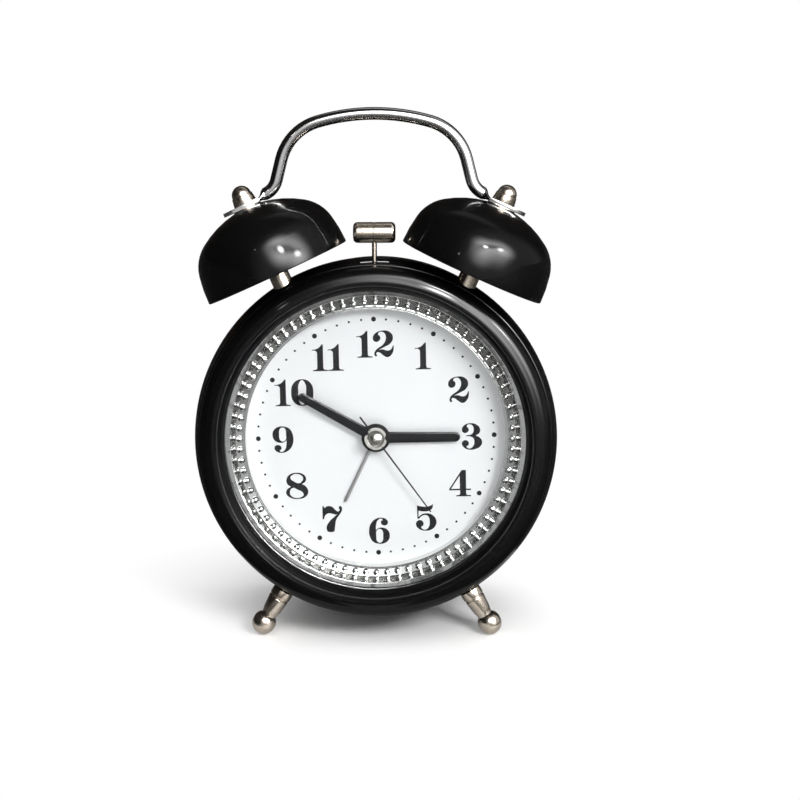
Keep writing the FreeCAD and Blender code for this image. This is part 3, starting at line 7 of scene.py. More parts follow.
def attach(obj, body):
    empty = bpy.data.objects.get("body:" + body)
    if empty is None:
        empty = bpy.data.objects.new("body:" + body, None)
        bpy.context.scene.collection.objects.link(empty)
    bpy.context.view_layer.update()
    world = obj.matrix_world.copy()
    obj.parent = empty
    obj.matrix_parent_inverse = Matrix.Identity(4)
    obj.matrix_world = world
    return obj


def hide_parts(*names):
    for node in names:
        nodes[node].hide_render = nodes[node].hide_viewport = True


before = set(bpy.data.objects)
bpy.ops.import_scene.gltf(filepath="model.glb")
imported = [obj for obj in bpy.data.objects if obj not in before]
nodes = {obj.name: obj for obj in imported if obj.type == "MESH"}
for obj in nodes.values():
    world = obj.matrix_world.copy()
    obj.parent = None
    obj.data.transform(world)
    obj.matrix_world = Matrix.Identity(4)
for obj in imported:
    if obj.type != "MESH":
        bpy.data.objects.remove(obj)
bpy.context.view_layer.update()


# Case shell
# A drum spun from steel sheet: a neck for the bezel, a crowned front shoulder, a slight taper to the back and
# a rolled rear edge. It is sprayed in gloss black. The hammer's wire comes out of the slot in its top.

MM = 0.001
NEAR = 1e-6  # in metres: points that lie nearer than this are one point
# The clock is drawn upright, with +Y from the dial to the back, and then leans back on its feet
LEAN = math.radians(11.945862)
STANDING = Matrix.Translation((0, -0.018820, 0.064596)) @ Matrix.Rotation(-LEAN, 4, "X")
TO_BACK = STANDING @ Matrix.Rotation(math.radians(-90), 4, "X")
ARC_STEP = 7  # degrees of an arc from one ring of points to the next


def traced(corners):
    """The points of an outline, in millimetres. A corner's third number is the bulge of the arc that leads to it,
    as a share of its chord."""
    points = [Vector(corners[0][:2])]
    for x, y, *bulge in corners[1:]:
        start, end = points[-1], Vector((x, y))
        if bulge:
            half = 2 * math.atan(2 * bulge[0])
            chord = end - start
            middle = (start + end) / 2 + Vector((-chord.y, chord.x)) / (2 * math.tan(half))
            steps = max(2, round(abs(math.degrees(2 * half)) / ARC_STEP))
            for step in range(1, steps):
                points.append(middle + Matrix.Rotation(2 * half * step / steps, 2) @ (start - middle))
        points.append(end)
    return points


def pick(piece, test, kind="VERT"):
    """Selects the points, or the edges by their middles, that pass a test, and stays in edit mode."""
    bpy.ops.object.mode_set(mode="EDIT")
    bpy.ops.mesh.select_mode(type=kind)
    bpy.ops.mesh.select_all(action="DESELECT")
    bpy.ops.object.mode_set(mode="OBJECT")
    mesh, world = piece.data, piece.matrix_world
    if kind == "VERT":
        for point in mesh.vertices:
            point.select = test(world @ point.co)
    else:
        for edge in mesh.edges:
            start, end = (mesh.vertices[index].co for index in edge.vertices)
            edge.select = test(world @ ((start + end) / 2))
    bpy.ops.object.mode_set(mode="EDIT")


def settle(piece, place, sharp=35):
    """Merges the seams, turns the faces outwards, smooths all but sharp edges and puts the piece in its place."""
    bpy.ops.object.mode_set(mode="EDIT")
    bpy.ops.mesh.select_mode(type="VERT")
    bpy.ops.mesh.select_all(action="SELECT")
    bpy.ops.mesh.remove_doubles(threshold=NEAR)
    bpy.ops.mesh.normals_make_consistent(inside=False)
    bpy.ops.object.mode_set(mode="OBJECT")
    bpy.ops.object.shade_smooth_by_angle(angle=math.radians(sharp))
    piece.matrix_world = place @ piece.matrix_world
    bpy.ops.object.transform_apply(location=True, rotation=True, scale=True)
    return piece


def close_to(height, start):
    """Draws the selected ring in to a point on the axis."""
    bpy.ops.mesh.extrude_edges_move(TRANSFORM_OT_translate={"value": (0, 0, height - start)})
    bpy.ops.mesh.merge(type="CENTER")


def drawn_out(name, corners, sides=96):
    """A circle drawn out from ring to ring along an outline of (radius, height), round the Z axis."""
    outline = traced(corners)
    rings = [(point.x * MM, point.y * MM) for point in outline if point.x > 0]
    first_radius, first_height = radius, height = rings[0]
    bpy.ops.object.select_all(action="DESELECT")
    bpy.ops.mesh.primitive_circle_add(vertices=sides, radius=radius, location=(0, 0, height))
    piece = bpy.context.object
    piece.name = name
    bpy.ops.object.mode_set(mode="EDIT")
    for next_radius, next_height in rings[1:]:
        grow = next_radius / radius
        bpy.ops.mesh.extrude_edges_move(TRANSFORM_OT_translate={"value": (0, 0, next_height - height)})
        bpy.ops.transform.resize(value=(grow, grow, 1), center_override=(0, 0, 0))
        radius, height = next_radius, next_height
    if outline[-1].x == 0:
        close_to(outline[-1].y * MM, height)
    if outline[0].x == 0:
        pick(piece, lambda at: abs(at.z - first_height) < NEAR and abs(at.xy.length - first_radius) < NEAR)
        close_to(outline[0].y * MM, first_height)
    bpy.ops.object.mode_set(mode="OBJECT")
    return piece


def turned(name, corners, place, sides=96, sharp=35):
    """A round piece drawn out along its outline and put in its place."""
    return settle(drawn_out(name, corners, sides), place, sharp)


def cut_away(piece, cutter):
    """Cuts the shape of one piece out of another."""
    bpy.ops.object.select_all(action="DESELECT")
    piece.select_set(True)
    bpy.context.view_layer.objects.active = piece
    cut = piece.modifiers.new("cut", "BOOLEAN")
    cut.operation = "DIFFERENCE"
    cut.object = cutter
    bpy.ops.object.modifier_apply(modifier=cut.name)


class Value:
    """What a node puts out. A sum, a difference or a product of such values adds its maths node."""

    def __init__(self, paint, socket):
        self.paint, self.socket = paint, socket

    def join(self, operation, first, second):
        return self.paint.node("Math", {"operation": operation}, {0: first, 1: second})

    def __add__(self, other):
        return self.join("ADD", self, other)

    def __radd__(self, other):
        return self.join("ADD", other, self)

    def __sub__(self, other):
        return self.join("SUBTRACT", self, other)

    def __rsub__(self, other):
        return self.join("SUBTRACT", other, self)

    def __mul__(self, other):
        return self.join("MULTIPLY", self, other)

    def __rmul__(self, other):
        return self.join("MULTIPLY", other, self)


class Paint:
    """A finish. Plain numbers go straight on its shader, and patterns through nodes that read the piece's place."""

    def __init__(self, name, settings):
        self.material = bpy.data.materials.new(name)
        self.material.use_nodes = True
        self.tree = self.material.node_tree
        self.shader = self.tree.nodes["Principled BSDF"]
        self.place = self.node("TexCoord", output="Object")
        self.give(self.shader, settings)

    def give(self, node, sockets):
        """Sets a node's sockets to plain values, or links other nodes to them."""
        for name, value in sockets.items():
            socket = node.inputs[name]
            if isinstance(value, Value):
                self.tree.links.new(value.socket, socket)
            elif socket.type == "RGBA" and len(value) == 3:
                socket.default_value = (*value, 1)
            else:
                socket.default_value = value

    def node(self, kind, settings=None, sockets=None, output=0):
        """Adds a node of a kind, with its settings and then its sockets, and gives one of its outputs."""
        made = self.tree.nodes.new(f"ShaderNode{kind}")
        for name, value in (settings or {}).items():
            setattr(made, name, value)
        self.give(made, sockets or {})
        return Value(self, made.outputs[output])

    def grain(self, scale, detail=3, across=None):
        """Noise with so many waves to the metre. Three factors stretch it along the axes."""
        at = self.place
        if across:
            at = self.node("Mapping", sockets={"Vector": at, "Scale": across})
        return self.node("TexNoise", sockets={"Vector": at, "Scale": scale, "Detail": detail})

    def band(self, value, low, high):
        """Runs from 0 to 1 where a value goes from low to high."""
        return self.node("MapRange", {"clamp": True}, {"Value": value, "From Min": low, "From Max": high})

    def mixed(self, share, first, second):
        """The first colour where the share is 0, and the second where it is 1."""
        return self.node("Mix", {"data_type": "RGBA"}, {0: share, 6: first, 7: second}, output=2)

    def relief(self, height, depth):
        """Raises the surface by a pattern, to a depth in metres."""
        self.give(self.shader, {"Normal": self.node("Bump", sockets={"Distance": depth, "Height": height})})


def enamel(name, tint, gloss):
    """Sprayed gloss lacquer: a slow ripple from spraying, a fine haze and a few specks of dust."""
    paint = Paint(name, {"Base Color": tint, "Coat Weight": 0.35, "Coat Roughness": gloss,
                         "Specular IOR Level": 0.03})
    ripple = paint.grain(110, 2)
    haze = paint.grain(900, 4)
    dust = paint.band(paint.grain(4200, 1), 0.72, 0.8)
    paint.give(paint.shader, {
        "Base Color": paint.mixed(dust * 0.5, tint, (0.03, 0.029, 0.027)),
        "Roughness": 0.34 + 0.08 * haze + 0.2 * dust,
    })
    paint.relief(ripple + 0.04 * haze, 0.000012)
    return paint


black_enamel = enamel("black_enamel", (0.0022, 0.0022, 0.0024), 0.05)

case = drawn_out("case_drum", [
    (54.4, 1.1), (54.4, -1.6), (55.2, -1.6), (55.2, 0.3), (56.1, 0.3), (57.0, 1.1, 0.2), (58.5, 7.0, 0.05),
    (58.5, 10.0), (55.8, 42.5), (55.8, 44.5, 0.5), (55.0, 44.4, 0.1), (55.0, 42.5), (57.7, 10.0), (57.7, 7.0),
    (55.7, 1.1), (54.4, 1.1),
], sides=160)
settle(case, Matrix.Rotation(math.radians(-90), 4, "X"))
slot = {"wide": 9.4, "long": 8.9, "deep": 6, "back": 5.55, "up": 58, "corner": 1.5}
bpy.ops.object.select_all(action="DESELECT")
bpy.ops.mesh.primitive_cube_add(size=1, location=(0, slot["back"] * MM, slot["up"] * MM),
                                scale=(slot["wide"] * MM, slot["long"] * MM, slot["deep"] * MM))
cutter = bpy.context.object
pick(cutter, lambda at: abs(at.z - slot["up"] * MM) < NEAR and at.y < slot["back"] * MM, "EDGE")
bpy.ops.mesh.bevel(offset=slot["corner"] * MM, segments=4)
bpy.ops.object.mode_set(mode="OBJECT")
cut_away(case, cutter)
bpy.data.objects.remove(cutter)
bpy.ops.object.shade_smooth_by_angle(angle=math.radians(35))
case.matrix_world = STANDING
bpy.ops.object.transform_apply(location=True, rotation=True, scale=True)
case.data.materials.append(black_enamel.material)
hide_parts("case_shell")
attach(case, "clock_body")


# Front bezel
# A half-round ring of pressed steel, pushed over the neck and lacquered like the case. Its inner slope steps
# down to the lens.

bezel = turned("bezel_ring", [
    (48.1, 0.9), (48.1, -0.7), (48.3, -1.1, 0.1), (50.0, -3.1, 0.08), (50.3, -4.1, -0.1), (50.9, -6.4, 0.2),
    (52.6, -6.1, 0.06), (56.3, -2.0, 0.19), (56.3, -0.15), (56.1, 0.0, 0.15), (55.3, 0.0), (55.3, -2.0),
    (54.2, -5.2), (52.2, -5.2), (51.4, -2.3), (49.1, -0.5), (49.1, 0.9), (48.1, 0.9),
], TO_BACK, sides=160)
bezel.data.materials.append(black_enamel.material)
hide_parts("front_bezel")
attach(bezel, "clock_body")


# Lens
# A flat disc of clear glass with a broken edge, held between the bezel's lip and the beaded ring.

clear_glass = Paint("clear_glass", {"Base Color": (0.9, 0.93, 0.92), "Roughness": 0.02, "Metallic": 0.0})
sheen = clear_glass.node("BsdfAnisotropic", sockets={"Color": (1, 1, 1), "Roughness": 0.02})
through = clear_glass.node("BsdfTransparent", sockets={"Color": (0.985, 0.99, 0.988)})
facing = clear_glass.node("Fresnel", sockets={"IOR": 1.33})
smear = clear_glass.band(clear_glass.grain(60, 3), 0.3, 0.8)
pane = clear_glass.node("MixShader", sockets={0: facing * (0.3 + 0.15 * smear), 1: through, 2: sheen})
clear_glass.tree.links.new(pane.socket, clear_glass.tree.nodes["Material Output"].inputs["Surface"])

lens = turned("lens_glass", [(0, 0.9), (50.2, 0.9), (50.4, 1.1), (50.4, 2.0), (50.2, 2.2), (0, 2.2)], TO_BACK)
lens.data.materials.append(clear_glass.material)
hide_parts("lens")
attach(lens, "clock_body")


# Beaded ring
# A dish of thin plated plastic between the lens and the dial. A flat rim, a mirror-bright slope, a shelf that dips
# to the dial with eighty half-round beads, and a fine double lip at the bore.

silver_plate = Paint("silver_plate", {"Base Color": (0.62, 0.62, 0.61), "Metallic": 1.0})
wear = silver_plate.grain(700, 4)
silver_plate.give(silver_plate.shader, {
    "Base Color": silver_plate.mixed(wear, (0.66, 0.66, 0.65), (0.54, 0.54, 0.535)),
    "Roughness": 0.06 + 0.06 * wear,
})
silver_plate.relief(silver_plate.grain(260, 2), 0.00003)



def joined(pieces):
    """Joins pieces to the first of them."""
    bpy.ops.object.select_all(action="DESELECT")
    for piece in pieces:
        piece.select_set(True)
    bpy.context.view_layer.objects.active = pieces[0]
    bpy.ops.object.join()
    return pieces[0]


shelf, shelf_dip = 5.8, 0.25
ring = drawn_out("ring_with_beads", [
    (42.0, 10.5), (42.0, 5.3), (42.3, 5.3), (42.35, 5.6), (42.5, 5.6), (42.55, 5.3), (42.8, 5.3),
    (42.85, shelf + shelf_dip), (45.2, shelf - shelf_dip), (46.6, 2.35, -0.1), (46.8, 2.2, 0.1), (50.4, 2.2),
    (50.4, 3.4), (47.9, 3.4), (46.4, 6.9), (43.1, 6.9), (43.1, 10.5), (42.0, 10.5),
], sides=160)
bead = {"circle": 43.95, "radius": 1.1, "height": 1.0, "count": 80, "sunk": 0.05, "tilt": Vector((0.2, 0, 0.98))}
bpy.ops.object.select_all(action="DESELECT")
bpy.ops.mesh.primitive_uv_sphere_add(segments=14, ring_count=10, radius=bead["radius"] * MM,
                                     location=(bead["circle"] * MM, 0, shelf * MM),
                                     scale=(1, 1, bead["height"] / bead["radius"]))
beads = bpy.context.object
bpy.ops.object.mode_set(mode="EDIT")
bpy.ops.mesh.select_all(action="SELECT")
bpy.ops.mesh.bisect(plane_co=(bead["circle"] * MM, 0, (shelf + bead["sunk"]) * MM), plane_no=bead["tilt"],
                    clear_outer=True, threshold=NEAR)
bpy.ops.mesh.select_all(action="SELECT")
bpy.ops.mesh.spin(steps=bead["count"], angle=2 * math.pi, dupli=True, center=(0, 0, 0), axis=(0, 0, 1))
bpy.ops.mesh.select_all(action="SELECT")
bpy.ops.mesh.remove_doubles(threshold=NEAR)
bpy.ops.object.mode_set(mode="OBJECT")
settle(joined([ring, beads]), TO_BACK, sharp=30)
ring.data.materials.append(silver_plate.material)
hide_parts("beaded_ring")
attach(ring, "clock_body")


# Dial
# A steel disc in white lacquer, printed in black with sixty dots and twelve heavy numerals with hairline serifs.

white_dial = Paint("white_dial", {"Base Color": (0.9, 0.91, 0.93), "Specular IOR Level": 0.12})
fleck = white_dial.grain(3000, 2)
cloud = white_dial.grain(40, 2)
white_dial.give(white_dial.shader, {
    "Base Color": white_dial.mixed(cloud, (0.885, 0.89, 0.905), (0.855, 0.86, 0.88)),
    "Roughness": 0.42 + 0.1 * fleck,
})
white_dial.relief(fleck, 0.000008)

dial_face = 10.5
dial = turned("dial_disc", [
    (4.0, dial_face), (50.3, dial_face), (50.4, dial_face + 0.1), (50.4, 11.0), (4.0, 11.0), (4.0, dial_face),
], TO_BACK, sides=128)
dial.data.materials.append(white_dial.material)
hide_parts("dial_plate")
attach(dial, "clock_body")

print_ink = Paint("print_ink", {"Base Color": (0.02, 0.02, 0.022), "Specular IOR Level": 0.1})
cover = print_ink.grain(1500, 3)
print_ink.give(print_ink.shader, {
    "Base Color": print_ink.mixed(cover, (0.008, 0.008, 0.009), (0.02, 0.02, 0.022)),
    "Roughness": 0.4 + 0.2 * cover,
})
print_ink.relief(cover, 0.000005)

# Each numeral is drawn on a square of 100, as closed lines. A point with a third number is a corner.
ONE = [[(0, 0, 0), (57, 0, 0), (57, 3.5, 0), (42, 6, 0), (39.5, 12, 0), (39.5, 100, 0), (35, 100, 0), (24, 88),
        (9, 81), (-2, 80.5, 0), (-2, 77, 0), (10, 76.5), (17, 70, 0), (17, 12, 0), (14, 6, 0), (0, 3.5, 0)]]
TWO = [[(0, 73), (8, 89), (35, 100), (64, 94), (75, 74), (66, 53), (43, 39), (21, 28, 0), (34, 30), (56, 25),
        (67, 30), (74, 44, 0), (77, 44, 0), (77, 32), (71, 13), (54, 0.5), (36, 9), (25, 18), (15, 19), (12, 13),
        (15, 8), (10, 4), (5, 10), (6, 20), (14, 31), (35, 46), (46, 61), (48.5, 77), (43, 91), (33, 95.5),
        (22, 92), (20, 86), (26, 80), (28, 70), (22, 61), (12, 58), (3, 63)]]
THREE = [[(1, 75), (8, 91), (31, 100), (57, 94), (69, 78), (66, 63), (52, 53.5, 0), (68, 45), (76, 30), (70, 13),
          (51, 2.5), (28, 0), (9, 8), (0, 25), (6, 34), (17, 36), (26, 28), (25, 18), (18, 12), (22, 7), (31, 5),
          (42, 13), (47, 28), (43, 44), (30, 51, 0), (17, 51.5, 0), (17, 55, 0), (30, 55.5, 0), (41, 62), (45, 77),
          (41, 91), (30, 96), (21, 93), (20, 88), (26, 80), (25, 70), (17, 64), (7, 65)]]
FOUR = [[(0, 23, 0), (0, 28, 0), (48, 100, 0), (64, 100, 0), (64, 29, 0), (82, 29, 0), (82, 23.5, 0),
         (64, 23.5, 0), (64, 9, 0), (68, 5, 0), (82, 4, 0), (82, 0, 0), (26, 0, 0), (26, 4, 0), (37, 5, 0),
         (41, 9, 0), (41, 23.5, 0)],
        [(40.5, 79, 0), (40.5, 29, 0), (7.5, 29, 0)]]
FIVE = [[(5, 97, 0), (22, 93), (42, 92), (56, 96), (66, 102, 0), (62, 85), (50, 76), (28, 74), (11, 77, 0),
         (10, 53, 0), (20, 61), (36, 66.5), (61, 61), (77, 38), (72, 16), (55, 3), (34, 0), (12, 7), (0, 24),
         (5, 37), (16, 41), (27, 34), (28, 22), (20, 13), (25, 7), (37, 4.5), (48, 14), (52, 34), (48, 53),
         (37, 60), (24, 57), (11, 46, 0), (6, 47, 0)]]
SIX = [[(0, 50), (7, 77), (25, 95), (45, 100), (65, 94), (72, 82), (68, 73), (57, 70), (47, 76), (46, 86),
        (52, 92), (45, 96), (34, 90), (27, 71), (26, 53, 0), (36, 60), (50, 62), (70, 53), (78, 31), (70, 10),
        (52, 0.5), (37, 0), (15, 8), (3, 28)],
       [(27, 30), (29, 50), (40, 57), (50, 51), (53, 30), (50, 10), (40, 4), (30, 10)]]
SEVEN = [[(1, 100, 0), (6.5, 100, 0), (8, 92, 0), (21, 100), (38, 97), (51, 84), (60, 79), (66, 85), (63, 93),
          (67, 100), (73, 97), (74, 82), (66, 68), (52, 47), (48, 25), (45, 3, 0), (31, 0), (18, 3, 0), (15, 18),
          (27, 42), (44, 58), (57, 69, 0), (50, 67), (38, 71), (22, 72), (11, 64), (6, 50, 0), (1, 50, 0)]]
EIGHT = [[(3, 75), (15, 93), (42, 100), (68, 93), (77, 78), (73, 65), (61, 57, 0), (75, 48), (84, 29), (75, 9),
          (45, 0), (15, 6), (1, 22), (5, 37), (19, 47, 0), (6, 58)],
         [(18, 81), (27, 92), (42, 95.5), (60, 89), (66, 78), (61, 67), (51, 60), (30, 68)],
         [(25, 42), (45, 35), (63, 25), (66, 14), (57, 7), (42, 4), (24, 9), (15, 22)]]
NINE = [[(78 - x, 100 - y, *corner) for x, y, *corner in line] for line in SIX]
ZERO = [[(0, 50), (11, 87), (41, 100), (72, 87), (83, 50), (72, 13), (41, 0), (11, 13)],
        [(27, 50), (30, 84), (41, 96), (53, 84), (56, 50), (53, 16), (41, 4), (30, 16)]]
WIDTHS = {0: 83, 1: 57, 2: 77, 3: 76, 4: 82, 5: 77, 6: 78, 7: 74, 8: 84, 9: 78}
SHAPES = {0: ZERO, 1: ONE, 2: TWO, 3: THREE, 4: FOUR, 5: FIVE, 6: SIX, 7: SEVEN, 8: EIGHT, 9: NINE}
numeral = {"height": 8.7, "ring": 30.7, "off_centre": (0.4, -0.45), "gap": 2.0}
INK = 0.01
PRINT_TURN = math.radians(0.9)
print_plane = STANDING @ Matrix.Rotation(math.radians(90), 4, "X") @ Matrix.Translation(
    (0, 0, (-dial_face + INK) * MM)) @ Matrix.Rotation(PRINT_TURN, 4, "Z")


def printed(number, x, y):
    """One hour's number, drawn flat round its own middle and made a mesh."""
    digits = [int(digit) for digit in str(number)]
    width = sum(WIDTHS[digit] for digit in digits) + numeral["gap"] * (len(digits) - 1)
    line_up = -width / 2
    scale = numeral["height"] / 100 * MM
    drawing = bpy.data.curves.new(f"hour_{number}", "CURVE")
    drawing.dimensions = "2D"
    drawing.fill_mode = "BOTH"
    drawing.resolution_u = 5
    drawing.extrude = INK * MM
    for digit in digits:
        for line in SHAPES[digit]:
            spline = drawing.splines.new("BEZIER")
            spline.use_cyclic_u = True
            spline.bezier_points.add(len(line) - 1)
            for point, (across, up, *corner) in zip(spline.bezier_points, line):
                point.co = (x * MM + (line_up + across) * scale, y * MM + (up - 50) * scale, 0)
                point.handle_left_type = point.handle_right_type = "VECTOR" if corner else "AUTO"
        line_up += WIDTHS[digit] + numeral["gap"]
    piece = bpy.data.objects.new(f"hour_{number}", drawing)
    bpy.context.scene.collection.objects.link(piece)
    bpy.ops.object.select_all(action="DESELECT")
    piece.select_set(True)
    bpy.context.view_layer.objects.active = piece
    bpy.ops.object.convert(target="MESH")
    return bpy.context.object


# One large dot and the four small ones after it, repeated round the dial
DOT_RING, LARGE_DOT, SMALL_DOT = 38.35, (0.8, 20), (0.375, 12)  # a dot's radius and its number of sides
dots = []
for minute in range(5):
    around = math.radians(6 * minute)
    radius, sides = SMALL_DOT if minute else LARGE_DOT
    at = (DOT_RING * MM * math.sin(around), DOT_RING * MM * math.cos(around), 0)
    bpy.ops.object.select_all(action="DESELECT")
    bpy.ops.mesh.primitive_circle_add(vertices=sides, radius=radius * MM, fill_type="NGON", location=at)
    dots.append(bpy.context.object)
    bpy.ops.object.mode_set(mode="EDIT")
    bpy.ops.mesh.extrude_region_move(TRANSFORM_OT_translate={"value": (0, 0, INK * MM)})
    bpy.ops.object.mode_set(mode="OBJECT")
marks = [joined(dots)]
bpy.ops.object.mode_set(mode="EDIT")
bpy.ops.mesh.select_all(action="SELECT")
bpy.ops.mesh.spin(steps=12, angle=2 * math.pi, dupli=True, center=(0, 0, 0), axis=(0, 0, 1))
bpy.ops.object.mode_set(mode="OBJECT")
right, up = numeral["off_centre"]
for hour in range(1, 13):
    around = math.radians(30 * hour)
    marks.append(printed(hour, right + numeral["ring"] * math.sin(around), up + numeral["ring"] * math.cos(around)))
dial_print = joined(marks)
dial_print.name = "dial_print"
settle(dial_print, print_plane, sharp=20)
dial_print.data.materials.clear()
dial_print.data.materials.append(print_ink.material)
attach(dial_print, "clock_body")


# Hands and cap
# The hour and minute hands are stamped from steel with sloped edges and lacquered black, the alarm hand is a
# creased strip of bare steel, and the seconds hand is a thin black blade with a tail. A polished ball ends the arbor.

black_hands = Paint("black_hands", {"Base Color": (0.006, 0.006, 0.007), "Coat Weight": 0.3, "Coat Roughness": 0.15,
                                    "Specular IOR Level": 0.1})
brushed = black_hands.grain(2400, 3)
black_hands.give(black_hands.shader, {"Roughness": 0.3 + 0.15 * brushed})
black_hands.relief(brushed, 0.000008)
bare_steel = Paint("bare_steel", {"Base Color": (0.6, 0.6, 0.59), "Metallic": 1.0})
drawn = bare_steel.grain(1800, 4)
bare_steel.give(bare_steel.shader, {
    "Base Color": bare_steel.mixed(drawn, (0.68, 0.68, 0.67), (0.5, 0.5, 0.49)),
    "Roughness": 0.22 + 0.16 * drawn,
})
bare_steel.relief(drawn, 0.00001)


def stamped(name, root, tip, reach, tail, hub, height, thickness, slope, clockwise):
    """A hand seen from the front: a round-ended bar with sloped edges, from its tail to its reach, on a round hub.
    Its height is over the dial, and its place is an angle clockwise from twelve."""
    bpy.ops.object.select_all(action="DESELECT")
    bpy.ops.mesh.primitive_circle_add(vertices=28, radius=tip * MM, fill_type="NGON",
                                      location=(0, (reach - tip) * MM, 0))
    bar = bpy.context.object
    bar.name = name
    pick(bar, lambda at: at.y < (reach - tip) * MM - NEAR)
    bpy.ops.transform.resize(value=(root / tip, root / tip, 1), center_override=(0, (reach - tip) * MM, 0))
    bpy.ops.transform.translate(value=(0, -(reach - tip + tail - root) * MM, 0))
    bpy.ops.mesh.select_all(action="SELECT")
    edge = 0.4 * thickness
    bpy.ops.mesh.extrude_region_move(TRANSFORM_OT_translate={"value": (0, 0, edge * MM)})
    bpy.ops.mesh.inset(thickness=slope * MM, depth=(thickness - edge) * MM)
    bpy.ops.object.mode_set(mode="OBJECT")
    round_hub = drawn_out(f"{name}_hub", [
        (0, 0), (hub, 0), (hub, thickness * 0.7), (hub - 0.12, thickness * 0.95, 0.15), (0, thickness * 0.95),
    ], sides=64)
    return settle(joined([bar, round_hub]), STANDING @ Matrix.Rotation(math.radians(90), 4, "X")
                  @ Matrix.Translation((0, 0, (height - dial_face) * MM))
                  @ Matrix.Rotation(math.radians(-clockwise), 4, "Z"), sharp=15)


# Half widths at the root and the tip, reach, tail, radius of the hub, height, thickness, slope and angle
HANDS = {
    "alarm": (0.55, 0.5, 23.8, 0, 3.0, 0.7, 0.25, 0.45, 205.7),
    "hour": (1.9, 1.6, 27.3, 0, 4.0, 1.5, 0.35, 0.6, 89.5),
    "minute": (1.75, 1.38, 28.5, 0, 4.65, 2.4, 0.35, 0.5, 299.2),
    "seconds": (0.3, 0.2, 30.1, 8.7, 1.6, 3.2, 0.2, 0.1, 143.8),
}
for kind, sizes in HANDS.items():
    hand = stamped(f"{kind}_pointer", *sizes)
    hand.data.materials.append((bare_steel if kind == "alarm" else black_hands).material)
    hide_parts(f"{kind}_hand")
    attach(hand, f"{kind}_body")

polished = Paint("polished_nickel", {"Base Color": (0.66, 0.64, 0.6), "Metallic": 1.0})
rub = polished.grain(1200, 3)
polished.give(polished.shader, {
    "Base Color": polished.mixed(rub, (0.7, 0.68, 0.64), (0.6, 0.575, 0.535)),
    "Roughness": 0.12 + 0.12 * rub,
})
polished.relief(rub, 0.000006)
cap = turned("cap_ball", [
    (0, 2.8), (3.7, 6.5, 0.2071), (3.65, 7.1, 0.02), (0.5, 7.1), (0.5, 5.25), (0, 5.25),
], TO_BACK, sides=64)
cap.data.materials.append(polished.material)
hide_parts("hand_cap")
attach(cap, "seconds_body")


# Bells
# Two deep shells pressed from steel, each with a folded rim, lacquered black inside and out.

bell_enamel = enamel("bell_enamel", (0.0022, 0.0022, 0.0023), 0.035)
BELL_PLANE, BELL_AT, BELL_LEAN = 5.0, (30.9, 54.0), 24.5


def on_bell(side, height=0.0):
    """The place of a piece on a bell's axis, a height above the rim."""
    return (STANDING @ Matrix.Translation((side * BELL_AT[0] * MM, BELL_PLANE * MM, BELL_AT[1] * MM))
            @ Matrix.Rotation(math.radians(side * BELL_LEAN), 4, "Y") @ Matrix.Translation((0, 0, height * MM)))


SIDES = (("left", -1), ("right", 1))
for name, side in SIDES:
    bell = turned(f"{name}_bell_shell", [
        (23.0, 0.2), (23.0, 0.0), (23.2, -0.25, 0.15), (23.75, -0.3), (24.0, 0.0, 0.15), (23.1, 8.9, 0.025),
        (17.5, 17.2, 0.1), (4.8, 22.2, 0.054), (1.8, 22.2), (1.8, 21.2), (4.8, 21.2), (17.0, 16.3, -0.05),
        (21.8, 9.9, -0.09), (23.0, 0.2, -0.025),
    ], on_bell(side), sides=128)
    bell.data.materials.append(bell_enamel.material)
    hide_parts(f"{name}_bell")
    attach(bell, "clock_body")


# Bell fittings
# Each bell sits on a turned sleeve and is clamped through the handle's end by a tall dome nut. Sleeves, nuts and
# washers are brass with a warm nickel plate.

nickel = Paint("champagne_nickel", {"Base Color": (0.6, 0.53, 0.44), "Metallic": 1.0})
lathe = nickel.grain(1500, 4)
tarnish = nickel.band(nickel.grain(240, 3), 0.35, 0.75)
nickel.give(nickel.shader, {
    "Base Color": nickel.mixed(tarnish * 0.6, (0.66, 0.59, 0.5), (0.5, 0.42, 0.33)),
    "Roughness": 0.14 + 0.1 * lathe + 0.06 * tarnish,
})
nickel.relief(lathe, 0.000012)

TAB_SEAT, TAB_THICKNESS = 22.5, 1.2
# the feet of the sleeves are cut to the case's curve
case_block = turned("case_block", [
    (0, 0.4), (56.3, 0.4), (58.52, 7.0, 0.07), (58.52, 10.0), (55.82, 42.5), (0, 42.5),
], TO_BACK, sides=160)
for name, side in SIDES:
    post = turned(f"{name}_sleeve", [
        (1.8, 21.2), (1.8, -7.1), (3.25, -7.1), (3.25, 21.0), (3.05, 21.2, 0.1), (1.8, 21.2),
    ], on_bell(side), sides=64)
    cut_away(post, case_block)
    settle(post, Matrix.Identity(4))
    post.data.materials.append(nickel.material)
    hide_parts(f"{name}_bell_post")
    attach(post, "clock_body")
    nut = turned(f"{name}_crown_nut", [
        (1.75, 0), (3.65, 0), (3.8, 0.15, 0.15), (3.4, 2.5), (3.45, 2.62, 0.1), (3.35, 2.75, 0.1), (3.15, 2.85),
        (0, 6.0, 0.2071), (0, 3.0), (1.75, 3.0), (1.75, 0),
    ], on_bell(side, TAB_SEAT + TAB_THICKNESS), sides=64)
    nut.data.materials.append(nickel.material)
    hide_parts(f"{name}_dome_nut")
    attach(nut, "clock_body")
bpy.data.objects.remove(case_block)


# Handle
# A round steel rod bent into an arch over the bells, with its ends hammered flat. The holes for the studs are not
# cut.
# Polished and chromed. One half is bent from the tab to the crown, and the other is its mirror image.

chrome = Paint("chrome", {"Base Color": (0.72, 0.72, 0.71), "Metallic": 1.0})
polish = chrome.grain(900, 3)
chrome.give(chrome.shader, {
    "Base Color": chrome.mixed(polish, (0.82, 0.82, 0.81), (0.7, 0.695, 0.69)),
    "Roughness": 0.05 + 0.08 * polish,
})
chrome.relief(polish, 0.000003)

